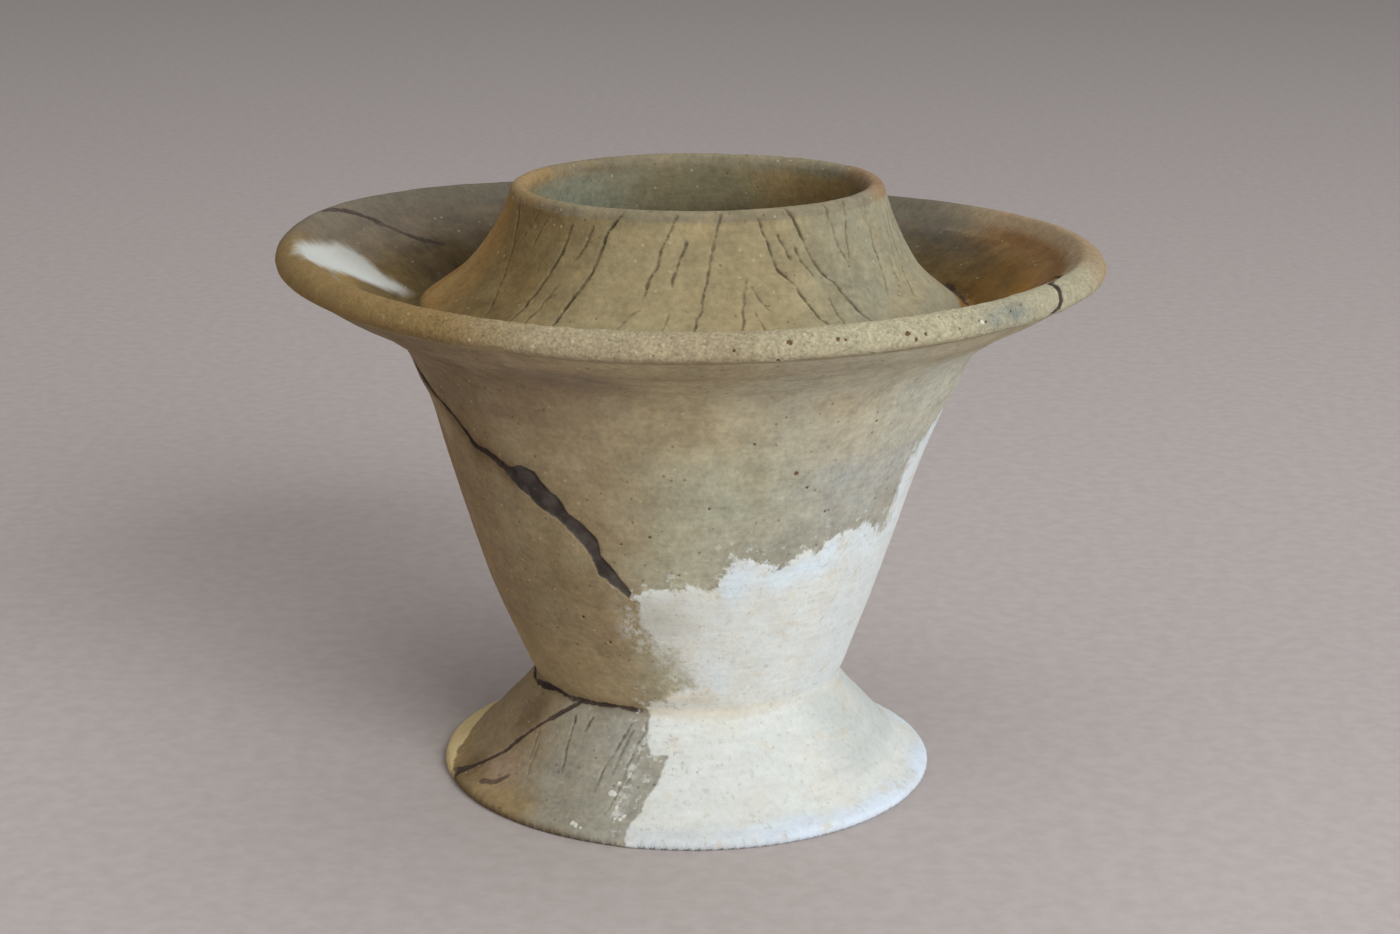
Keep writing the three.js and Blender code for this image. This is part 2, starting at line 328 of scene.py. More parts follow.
def to_curve(P, line, reach, sel=None):
    """Distance of each point to a polyline in space (reach where farther), and the place along it, 0..1."""
    dist = np.full(len(P), float(reach))
    along = np.zeros(len(P))
    lo, hi = line.min(0) - reach, line.max(0) + reach
    near = np.where(np.all((P > lo) & (P < hi), axis=1))[0]
    if not len(near):
        return dist, along
    a, b = line[:-1], line[1:]
    ab = b - a
    L2 = (ab**2).sum(1) + 1e-12
    for c in range(0, len(near), 4000):
        ii = near[c : c + 4000]
        ap = P[ii][:, None, :] - a[None]
        t = np.clip((ap * ab[None]).sum(2) / L2[None], 0, 1)
        d = np.linalg.norm(ap - t[..., None] * ab[None], axis=2)
        k = d.argmin(1)
        dm = d[np.arange(len(ii)), k]
        better = dm < dist[ii]
        dist[ii[better]] = dm[better]
        along[ii[better]] = (k[better] + t[np.arange(len(ii)), k][better]) / len(a)
    return dist, along


def inside_region(th, s, region):
    """Even-odd test in the (theta, s) plane; the region's theta may run past pi."""
    out = np.zeros(len(th), bool)
    for shift in (-2 * PI, 0, 2 * PI):
        x, y = th + shift, s
        hit = np.zeros(len(th), bool)
        near = (x > region[:, 0].min()) & (x < region[:, 0].max()) & (y > region[:, 1].min()) & (y < region[:, 1].max())
        xs, ys = x[near], y[near]
        h = np.zeros(len(xs), bool)
        for (x0, y0), (x1, y1) in zip(region, np.roll(region, -1, axis=0)):
            if y0 == y1:
                continue
            cross = (ys < y0) != (ys < y1)
            h ^= cross & (xs < (x1 - x0) * (ys - y0) / (y1 - y0) + x0)
        hit[near] = h
        out |= hit
    return out


# =====================================================================================================================
# What lies on the surface: strokes, cracks, repairs
# =====================================================================================================================
COLLAR_STROKES = [
    (1.0, 0.50, [(-20.5, 117.9), (-25.0, 112.9), (-26.7, 107.4), (-29.1, 103.3), (-30.9, 99.3), (-31.8, 97.4)]),
    (0.85, 0.42, [(-4.2, 117.7), (-5.5, 115.5), (-8.2, 111.4), (-10.2, 106.8), (-11.5, 103.3)]),
    (0.45, 0.34, [(-11.9, 102.0), (-14.9, 100.0), (-16.2, 98.6)]),
    (0.80, 0.42, [(-1.2, 113.2), (-4.1, 107.8), (-4.7, 105.7)]),
    (0.60, 0.36, [(-5.0, 101.5), (-5.8, 99.8), (-6.3, 98.4)]),
    (0.80, 0.36, [(8.8, 117.6), (6.5, 113.2), (4.4, 107.9), (3.2, 104.0), (1.0, 99.5), (0.0, 97.6)]),
    (0.85, 0.42, [(-36.9, 114.9), (-37.8, 111.5), (-39.1, 107.3), (-40.8, 103.1), (-42.2, 99.5), (-43.0, 97.6)]),
    (0.80, 0.40, [(-29.5, 114.5), (-31.2, 111.1), (-33.2, 108.3)]),
    (0.70, 0.38, [(-35.6, 104.4), (-37.8, 99.4), (-38.6, 97.8)]),
    (0.60, 0.34, [(-45.8, 117.6), (-50.0, 111.9), (-49.4, 109.1)]),
    (0.60, 0.36, [(-66.9, 116.5), (-58.8, 107.3), (-53.1, 100.2), (-51.0, 97.6)]),
    (0.40, 0.32, [(-52.4, 116.0), (-55.2, 112.6), (-57.4, 109.4)]),
    (0.85, 0.44, [(19.1, 116.3), (21.5, 112.1), (23.0, 108.3), (26.4, 106.0), (28.4, 102.8), (30.7, 100.0), (32.0, 98.2)]),
    (0.80, 0.40, [(24.4, 114.2), (26.9, 109.7)]),
    (0.70, 0.40, [(29.2, 111.7), (32.6, 106.2)]),
    (0.85, 0.44, [(28.6, 118.2), (31.8, 113.9), (33.3, 109.7), (36.3, 106.7), (38.9, 104.4), (42.6, 99.5), (43.9, 97.8)]),
    (0.65, 0.36, [(41.9, 118.2), (43.0, 113.7), (43.6, 111.2), (45.4, 107.9)]),
    (0.60, 0.34, [(50.5, 117.4), (45.8, 107.9)]),
    (0.60, 0.34, [(59.8, 113.7), (58.2, 108.6), (57.4, 104.8), (54.7, 101.5)]),
    (0.45, 0.32, [(64.5, 107.4), (62.2, 102.3)]),
    (0.35, 0.30, [(70.5, 112.0), (67.6, 106.8), (65.2, 103.4)]),
    (0.75, 0.38, [(14.3, 107.0), (11.6, 99.8), (11.0, 98.0)]),
    (0.65, 0.38, [(15.4, 105.9), (18.9, 101.7)]),
    (0.50, 0.34, [(15.1, 101.8), (16.1, 99.7), (16.8, 98.2)]),
    (0.60, 0.36, [(35.3, 102.8), (35.6, 99.7), (36.0, 98.2)]),
]
FOOT_STROKES = [
    (0.48, 0.37, [(-17.8, 17.8), (-20.2, 13.5), (-21.7, 9.4)]),
    (0.40, 0.35, [(-53.9, 13.7), (-50.2, 8.6)]),
    (0.40, 0.35, [(-13.9, 15.2), (-15.7, 11.1), (-16.6, 8.0)]),
    (0.64, 0.41, [(-42.0, 17.6), (-39.0, 12.5), (-36.9, 8.7)]),
    (0.60, 0.39, [(-34.5, 18.1), (-35.6, 15.3)]),
    (0.60, 0.39, [(-19.4, 18.2), (-22.6, 13.6), (-24.8, 9.5), (-25.1, 7.1)]),
    (0.56, 0.39, [(-14.7, 19.1), (-14.5, 16.7), (-16.7, 13.6), (-18.1, 8.9), (-20.4, 4.1)]),
    (0.36, 0.35, [(-50.8, 11.6), (-49.0, 8.6), (-47.6, 6.2)]),
]


def hidden_strokes():
    """The same leaning hatches carried on round the side that can't be seen: groups that lean by turns to the left and right."""
    rng = np.random.default_rng(41)
    out = []
    at, lean = 78.0, -1
    while at < 285.0:
        n = int(rng.integers(3, 6))
        for _ in range(n):
            top = rng.uniform(114.5, 118.0)
            low = rng.uniform(99.5, 103.5)
            slope = lean * rng.uniform(8.0, 14.0)
            mid = at + slope * 0.5 + rng.uniform(-0.8, 0.8)
            out.append((rng.uniform(0.5, 0.9), rng.uniform(0.34, 0.44), [(at, top), (mid, (top + low) / 2), (at + slope, low)]))
            at += rng.uniform(6.5, 9.5)
        at += rng.uniform(4.0, 9.0) + (10.0 if lean < 0 else 0.0)
        lean = -lean
    return out


CRACKS = [  # name, zones, half width, depth, darkness, places
    ("body", "body", 0.50, 0.50, 1.0, [(-84.0, 87.0), (-75.0, 84.4), (-67.2, 81.5), (-62.5, 78.9), (-56.4, 75.1), (-53.9, 73.0), (-48.5, 72.0), (-45.1, 70.6), (-42.5, 69.6)]),
    ("waist_left", "waist", 0.55, 0.35, 1.0, [(-92.0, 18.6), (-84.0, 18.5), (-75.8, 18.6), (-65.0, 19.3), (-55.3, 20.1), (-47.4, 19.7)]),
    ("waist_right", "waist", 0.45, 0.30, 0.95, [(-47.4, 19.7), (-40.5, 19.9), (-32.0, 20.3), (-25.2, 20.7), (-17.3, 20.5)]),
    ("foot", "foot", 0.52, 0.40, 0.9, [(-43.5, 19.3), (-51.1, 16.0), (-55.2, 13.8), (-58.2, 11.8), (-60.6, 9.8), (-62.4, 7.9), (-67.0, 5.1), (-70.4, 2.9), (-72.4, 1.6)]),
    ("rim_right", "rim", 0.50, 0.45, 1.0, [(71.0, 99.5, 64.0), (75.7, 102.8, 70.0), (66.0, 105.4, 74.2), (57.5, 107.1, 76.0), (57.3, 106.7, 77.0), (56.8, 106.1, 78.2), (56.2, 105.2, 79.2), (55.4, 104.2, 79.7), (54.2, 103.1, 79.9), (53.0, 102.1, 79.4), (52.0, 101.1, 77.4), (50.6, 100.2, 75.6)]),
    # collar_base: a shallow groove along the foot of the collar, its darkness painted shade in the crease between
    # collar and flange
    ("collar_base", "channel", 0.62, 0.35, 0.85, [(112.5, 94.1, 55.8), (107.0, 93.8, 55.4), (101.0, 93.8, 54.8), (96.0, 93.9, 54.4), (92.0, 93.9, 54.2)]),
    ("foot_mark", "foot", 0.62, 0.12, 0.7, [(-60.6, 3.0), (-59.0, 3.3), (-57.2, 3.6), (-55.8, 4.0), (-54.6, 4.8), (-53.7, 5.2)]),
    ("flange_left", "channel", 0.80, 0.22, 0.8, [(-104.5, 108.6, 76.2), (-107.3, 108.0, 75.0), (-111.7, 106.1, 73.0), (-115.3, 103.6, 69.0), (-118.6, 100.7, 65.0), (-123.5, 98.7, 62.0)]),
]
CRACK_ZONES = {"body": [5, 6], "waist": [6, 7], "foot": [7], "rim": [3, 4, 5], "channel": [3, 4]}

FILLER_TOP = [(-43.2, 70.4), (-39.1, 71.8), (-35.7, 71.2), (-33.7, 68.8), (-30.1, 66.0), (-28.2, 63.2), (-25.5, 61.5), (-22.6, 59.0), (-21.2, 55.4), (-19.1, 52.4), (-14.3, 47.8)]
FILLER_LOW = [(-15.2, 46.5), (-20.2, 49.1), (-22.8, 51.4), (-23.9, 55.1), (-26.9, 57.5), (-29.7, 60.3), (-32.0, 61.7), (-36.5, 63.7), (-40.9, 66.7), (-44.8, 69.0)]

PLASTER_TOP = [(-14.3, 47.4), (-11.1, 47.6), (-1.8, 49.4), (5.3, 48.9), (8.5, 51.4), (10.1, 55.8), (13.2, 55.0), (18.8, 53.5), (24.2, 53.7), (28.4, 54.3), (34.4, 55.2),
               (37.9, 57.2), (43.7, 57.3), (49.2, 58.7), (53.1, 57.3), (59.5, 54.8), (63.0, 57.0), (61.8, 61.0), (61.3, 65.0), (62.9, 68.5), (65.5, 72.0), (70.0, 75.5),
               (75.0, 76.4), (84.0, 75.0), (94.0, 76.6), (106.0, 73.2), (118.0, 71.0), (128.0, 63.4), (139.0, 57.2), (150.0, 47.5), (147.0, 38.0), (153.0, 29.0), (151.0, 22.6)]
PLASTER_BACK_FOOT = [(151.0, 19.4), (157.0, 12.0), (150.0, 6.0), (152.0, 2.6)]
PLASTER_FRONT_FOOT = [(-13.4, 2.6), (-13.0, 3.4), (-11.1, 5.4), (-8.0, 9.5), (-5.4, 13.4), (-11.1, 13.8), (-13.0, 16.0), (-13.3, 19.2)]
PLASTER_LEFT = [(-15.6, 21.3), (-13.5, 22.8), (-2.1, 25.1), (1.2, 27.0), (-2.0, 31.7), (-4.6, 34.3), (-8.0, 35.8), (-10.6, 37.6), (-12.4, 40.7), (-14.0, 45.7)]
# thin plaster smeared beside the foot's strokes
FOOT_SMEAR = [(-14.6, 16.4), (-15.5, 13.2), (-16.4, 9.8), (-17.0, 7.2), (-17.3, 4.4)]
# a small cream fill at the foot's left edge
HEEL_FILL = [(-71.5, 1.0), (-77.0, 2.0), (-83.9, 2.8), (-89.2, 4.0), (-95.8, 5.0), (-106.0, 5.6), (-116.0, 4.4), (-120.0, 2.4)]

# painted highlight: a whitish sheen painted as colour down the upper face of the flange from its ridge, at the left
SHEEN_PATCH_PLACES = [(-78.8, 107.7, 76.3), (-88.2, 106.1, 72.9), (-95.8, 104.3, 70.4), (-98.2, 102.8, 68.1), (-97.8, 101.3, 65.7), (-96.8, 99.6, 63.1), (-95.7, 97.6, 60.2), (-98.0, 95.4, 57.6),
               (-98.5, 93.9, 56.0), (-95.4, 93.8, 55.6), (-90.7, 95.2, 57.4), (-86.2, 97.5, 60.2), (-81.9, 100.3, 64.5), (-78.2, 102.5, 68.4), (-71.8, 105.3, 72.6), (-69.7, 107.0, 76.0), (-73.9, 107.4, 76.7)]

UNDER_RING_S = s_at([8], 5.0)[0]


def chain(*parts):
    """A closed region in (theta, s) and its outline in space; each part is (places, zones)."""
    th, s = [], []
    for places, zones in parts:
        for p in places:
            a, b = locate(p[0], p[1], zones, p[2] if len(p) > 2 else None) if zones is not None else (math.radians(p[0]), p[1])
            th.append(a)
            s.append(b)
    poly = np.stack([np.unwrap(th), s], 1)
    ring = np.vstack([poly, poly[:1]])
    out = []
    for a, b in zip(ring[:-1], ring[1:]):
        n = max(1, int(np.linalg.norm(base_point(*np.array([a]).T) - base_point(*np.array([b]).T)) / 1.0))
        t = np.linspace(0, 1, n, endpoint=False)[:, None]
        out.append(a + (b - a) * t)
    fine = np.vstack(out)
    # the outline wanders a little on the way
    q = base_point(fine[:, 0], fine[:, 1])
    rad = np.maximum(prof("r", fine[:, 1]), 8.0)
    fine[:, 0] += (fbm(q, 5.0, 3, 3) * 0.75) / rad
    fine[:, 1] += fbm(q, 5.0, 19, 3) * 0.75
    return fine, np.vstack([base_point(fine[:, 0], fine[:, 1]), base_point(fine[:1, 0], fine[:1, 1])])


plaster_region, plaster_line = chain(
    (PLASTER_TOP, [6]), (PLASTER_BACK_FOOT, [7]), ([(152.0, UNDER_RING_S), (120.0, UNDER_RING_S + 3), (60.0, UNDER_RING_S + 6), (10.0, UNDER_RING_S + 2), (-13.0, UNDER_RING_S)], None),
    (PLASTER_FRONT_FOOT, [7]), (PLASTER_LEFT, [6]))
filler_region, filler_line = chain((FILLER_TOP, [6]), (FILLER_LOW, [6]))
patch_region, patch_line = chain((SHEEN_PATCH_PLACES, [3, 4]))
heel_region, heel_line = chain((HEEL_FILL, [7]), ([(-120.0, UNDER_RING_S), (-95.0, UNDER_RING_S + 2), (-70.0, UNDER_RING_S)], None))

strokes = []
for strength, width, places in COLLAR_STROKES + hidden_strokes():
    places = [(a, z + 0.5, MOUTH_R - 0.6) if z > 115.5 else (a, z) for a, z in places]
    strokes.append((strength, width, curve(places, [1, 2], 0.5, 0.42)))
for strength, width, places in FOOT_STROKES:
    strokes.append((strength, width, curve(places, [7], 0.5, 0.3)))
smear_line = curve(FOOT_SMEAR, [7])
cracks = [(name, half, depth, dark, curve(places, CRACK_ZONES[zones])) for name, zones, half, depth, dark, places in CRACKS]


# =====================================================================================================================
# The surface mesh, finer near what lies on it
# =====================================================================================================================
class SizeMap:
    """Wanted edge length over (theta, s), kept on a grid; features pull it down round themselves."""

    def __init__(self):
        self.nt, self.ds = 1440, 0.3
        self.ns = int(S_END / self.ds) + 2
        s = np.arange(self.ns) * self.ds
        th = (np.arange(self.nt) + 0.5) / self.nt * 2 * PI - PI
        zone = zone_of(s)
        z = prof("z", s)
        h = np.full(self.ns, 2.3)
        h[zone == 0] = np.where(z[zone == 0] > 98, 2.0, 6.0)
        h[zone == 1] = 0.95
        h[zone == 2] = 1.6
        h[zone == 3] = 2.3
        h[zone == 4] = 0.86
        h[zone == 5] = 2.3
        h[zone == 6] = 2.2
        h[zone == 7] = 1.8
        h[zone == 8] = 5.0
        lip = zone == 4
        edge = np.abs(s - s[lip].min())
        h = np.where((zone == 3) & (edge < 2.0), 1.1, h)
        h = np.where((zone == 5) & (np.abs(s - s[lip].max()) < 2.5), 1.05, h)
        near_front = 0.5 + 0.5 * np.cos(th)[:, None]  # 1 at the front, 0 at the back
        self.h = h[None, :] * (1 + 0.55 * (1 - near_front) ** 1.5)
        self.th = th

    def pull(self, line_th, line_s, small, reach):
        for t, s in zip(line_th[::1], line_s[::1]):
            r = max(float(prof("r", s)), 3.0)
            wt, ws = reach / r, reach
            i0, i1 = int((t - wt + PI) / (2 * PI) * self.nt), int((t + wt + PI) / (2 * PI) * self.nt) + 1
            j0, j1 = max(0, int((s - ws) / self.ds)), min(self.ns - 1, int((s + ws) / self.ds) + 1)
            ii = np.arange(i0, i1 + 1)
            jj = np.arange(j0, j1 + 1)
            tt = (ii + 0.5) / self.nt * 2 * PI - PI
            d = np.hypot((tt[:, None] - t) * r, jj[None, :] * self.ds - s)
            want = small + np.maximum(d - reach * 0.45, 0) * 0.55
            block = self.h[np.ix_(ii % self.nt, jj)]
            self.h[np.ix_(ii % self.nt, jj)] = np.where(d <= reach, np.minimum(block, want), block)

    def at(self, th, s):
        i = ((th + PI) / (2 * PI) * self.nt).astype(int) % self.nt
        j = np.clip((s / self.ds).astype(int), 0, self.ns - 1)
        return self.h[i, j]


def build_surface(scale=1.0):
    """Closed mesh of (theta, s) points: a coarse grid, then longest-edge halving until every edge is short enough."""
    sizes = SizeMap()
    for strength, width, (t, s, _) in strokes:
        hidden = abs((t.mean() + PI) % (2 * PI) - PI) > math.radians(80)
        sizes.pull(t, s, 0.8 if hidden else 0.44, 1.2)
    for name, half, depth, dark, (t, s, _) in cracks:
        sizes.pull(t, s, 0.44 if name in ("body", "waist_left", "waist_right", "foot", "rim_right") else 0.8, 1.6)
    sizes.pull(filler_region[:, 0], filler_region[:, 1], 0.42, 2.4)
    front = np.abs((plaster_region[:, 0] + PI) % (2 * PI) - PI) < math.radians(80)
    sizes.pull(plaster_region[front, 0], plaster_region[front, 1], 0.5, 2.2)
    sizes.pull(plaster_region[~front, 0], plaster_region[~front, 1], 1.1, 2.2)
    for places, zones, small in ((DROPS, [7], 0.36), (LIP_PITS, [4], 0.36), (BODY_PITS, [6], 0.45)):
        for pl in places:
            t, s = locate(pl[0], pl[1], zones, pl[2])
            sizes.pull([t], [s], small, 1.5)
    ring = np.radians(np.linspace(-180, 180, 720))
    for z in (2.9, 1.9):
        sizes.pull(ring, np.full(len(ring), s_at([7], z)[0]), 0.92, 1.2)
    sizes.h = sizes.h * scale
    nt = 72
    s_rows = [0.0]
    while s_rows[-1] < S_END - 6.5:
        s_rows.append(s_rows[-1] + 5.6)
    s_rows = np.array(s_rows[1:])
    th0 = np.arange(nt) / nt * 2 * PI - PI
    TH = [np.array([0.0]), np.array([0.0])]
    SS = [np.array([0.0]), np.array([S_END])]
    for k, s in enumerate(s_rows):
        TH.append(th0 + (PI / nt if k % 2 else 0))
        SS.append(np.full(nt, s))
    th, s = np.concatenate(TH), np.concatenate(SS)
    row = lambda k: 2 + k * nt + np.arange(nt)
    tris = []
    a = row(0)
    tris.append(np.stack([np.zeros(nt, int), np.roll(a, -1), a], 1))
    for k in range(len(s_rows) - 1):
        a, b = row(k), row(k + 1)
        if k % 2 == 0:  # the next row is shifted forward
            tris.append(np.stack([a, np.roll(a, -1), b], 1))
            tris.append(np.stack([np.roll(a, -1), np.roll(b, -1), b], 1))
        else:
            tris.append(np.stack([a, np.roll(a, -1), np.roll(b, -1)], 1))
            tris.append(np.stack([a, np.roll(b, -1), b], 1))
    a = row(len(s_rows) - 1)
    tris.append(np.stack([a, np.roll(a, -1), np.ones(nt, int)], 1))
    tri = np.vstack(tris)
    P = base_point(th, s)
    # facing out
    n = np.cross(P[tri[:, 1]] - P[tri[:, 0]], P[tri[:, 2]] - P[tri[:, 0]])
    vol = (P[tri[:, 0]] * n).sum() / 6
    if vol < 0:
        tri = tri[:, ::-1].copy()
    for _ in range(60):
        N = len(th)
        e = np.stack([tri, np.roll(tri, -1, axis=1)], 2)  # edges 01, 12, 20
        lo, hi = e.min(2), e.max(2)
        L = np.linalg.norm(P[e[..., 0]] - P[e[..., 1]], axis=2)
        # a tie is settled by the edge's own number, so that both sides agree
        key = lo.astype(np.int64) * N + hi
        longest = (L + key % 997 * 1e-9).argmax(1)
        rows = np.arange(len(tri))
        c = P[tri].mean(1)
        t3, s3 = th[tri], s[tri]
        ref = t3[:, :1]
        pole = prof("r", s3) < 1e-6
        dt = (t3 - ref + PI) % (2 * PI) - PI
        tm = ref[:, 0] + np.where(pole.any(1), dt.max(1), dt.mean(1))
        need = L[rows, longest] > sizes.at(tm, s3.mean(1))
        marked = np.unique(key[rows, longest][need])
        if not len(marked):
            break
        while True:
            hit = np.isin(key, marked).any(1)
            more = np.setdiff1d(key[rows, longest][hit], marked)
            if not len(more):
                break
            marked = np.union1d(marked, more)
        va, vb = (marked // N).astype(int), (marked % N).astype(int)
        ra, rb = prof("r", s[va]) < 1e-6, prof("r", s[vb]) < 1e-6
        d = (th[vb] - th[va] + PI) % (2 * PI) - PI
        nth = th[va] + d / 2
        nth = np.where(ra, th[vb], np.where(rb, th[va], nth))
        ns = (s[va] + s[vb]) / 2
        newid = N + np.arange(len(marked))
        th, s = np.concatenate([th, nth]), np.concatenate([s, ns])
        P = np.vstack([P, base_point(nth, ns)])
        hit = np.isin(key, marked)
        any_hit = hit.any(1)
        keep = tri[~any_hit]
        T, H, LG, K = tri[any_hit], hit[any_hit], longest[any_hit], key[any_hit]
        # turn each so that its longest edge is 01
        idx = (LG[:, None] + np.arange(3)[None]) % 3
        r = np.arange(len(T))[:, None]
        T, H, K = T[r, idx], H[r, idx], K[r, idx]
        mid = np.where(H, newid[np.searchsorted(marked, np.where(H, K, marked[0]))], -1)
        m0 = mid[:, 0]
        out = []
        # halves: (m0, v1, v2) with edge 12, and (v0, m0, v2) with edge 20
        s1 = mid[:, 1] >= 0
        out.append(np.stack([m0, T[:, 1], T[:, 2]], 1)[~s1])
        out.append(np.stack([m0, T[:, 1], mid[:, 1]], 1)[s1])
        out.append(np.stack([m0, mid[:, 1], T[:, 2]], 1)[s1])
        s2 = mid[:, 2] >= 0
        out.append(np.stack([T[:, 0], m0, T[:, 2]], 1)[~s2])
        out.append(np.stack([T[:, 0], m0, mid[:, 2]], 1)[s2])
        out.append(np.stack([m0, T[:, 2], mid[:, 2]], 1)[s2])
        tri = np.vstack([keep] + out)
    return th, s, tri, P


def normals_of(P, tri):
    n = np.cross(P[tri[:, 1]] - P[tri[:, 0]], P[tri[:, 2]] - P[tri[:, 0]])
    out = np.zeros_like(P)
    for k in range(3):
        np.add.at(out, tri[:, k], n)
    return out / (np.linalg.norm(out, axis=1)[:, None] + 1e-12)


# =====================================================================================================================
# Relief and masks at every vertex
# =====================================================================================================================
def deg_gap(th, centre_deg):
    """Signed azimuth difference in degrees."""
    return np.degrees((th - math.radians(centre_deg) + PI) % (2 * PI) - PI)


def bump_at(P, places, zones, radius):
    """Largest 0..1 round bump over a list of (azimuth, z[, r], size factor)."""
    out = np.zeros(len(P))
    for pl in places:
        th0, s0 = locate(pl[0], pl[1], zones, pl[2])
        c = base_point(np.array([th0]), np.array([s0]))[0]
        d = np.linalg.norm(P - c, axis=1)
        near = d < 6 * radius
        d[near] += 0.35 * radius * noise(P[near], 0.9 * radius, 500)
        d = d / (radius * pl[3])
        out = np.maximum(out, np.clip(1 - d * np.abs(d), 0, 1))
    return out


def soft(d, a, b):
    return smoothstep(d, a, b)


LIP_PITS = [(18.1, 104.3, 79.0, 1.0), (19.1, 104.0, 79.0, 0.8), (27.4, 103.9, 79.0, 1.1), (28.5, 103.0, 79.0, 0.9), (29.9, 103.6, 79.0, 0.8), (12.0, 104.1, 79.0, 1.2),
            (38.6, 104.4, 79.0, 0.7), (39.6, 104.0, 79.0, 0.7), (10.6, 101.4, 78.6, 0.9), (5.2, 103.0, 79.4, 0.7), (-4.4, 102.0, 79.0, 0.6), (22.6, 101.9, 78.6, 0.8),
            (47.0, 105.2, 78.0, 0.6), (44.6, 104.6, 78.4, 0.6)]
BODY_PITS = [(23.5, 72.2, None, 1.0), (27.0, 69.0, None, 0.7), (40.2, 82.0, None, 0.6), (-9.0, 60.0, None, 0.6), (4.5, 66.0, None, 0.6), (-30.0, 41.0, None, 0.8),
             (-23.0, 36.0, None, 0.6), (33.5, 63.2, None, 0.6), (13.0, 79.0, None, 0.6), (-2.5, 52.0, None, 0.7), (-16.0, 58.0, None, 0.6)]
DROPS = [(-19.9, 7.3, None, 0.95), (-19.0, 8.9, None, 0.42), (-17.9, 5.3, None, 0.42), (-18.2, 4.5, None, 0.42), (-17.4, 3.8, None, 0.45), (-16.3, 3.7, None, 0.40), (-15.4, 4.3, None, 0.40),
         (-27.3, 2.5, None, 0.70), (-26.0, 2.4, None, 0.50), (-24.7, 2.3, None, 0.30), (-18.0, 20.2, None, 0.65)]
LIP_DOT = [(38.8, 104.0, 79.0, 0.38)]


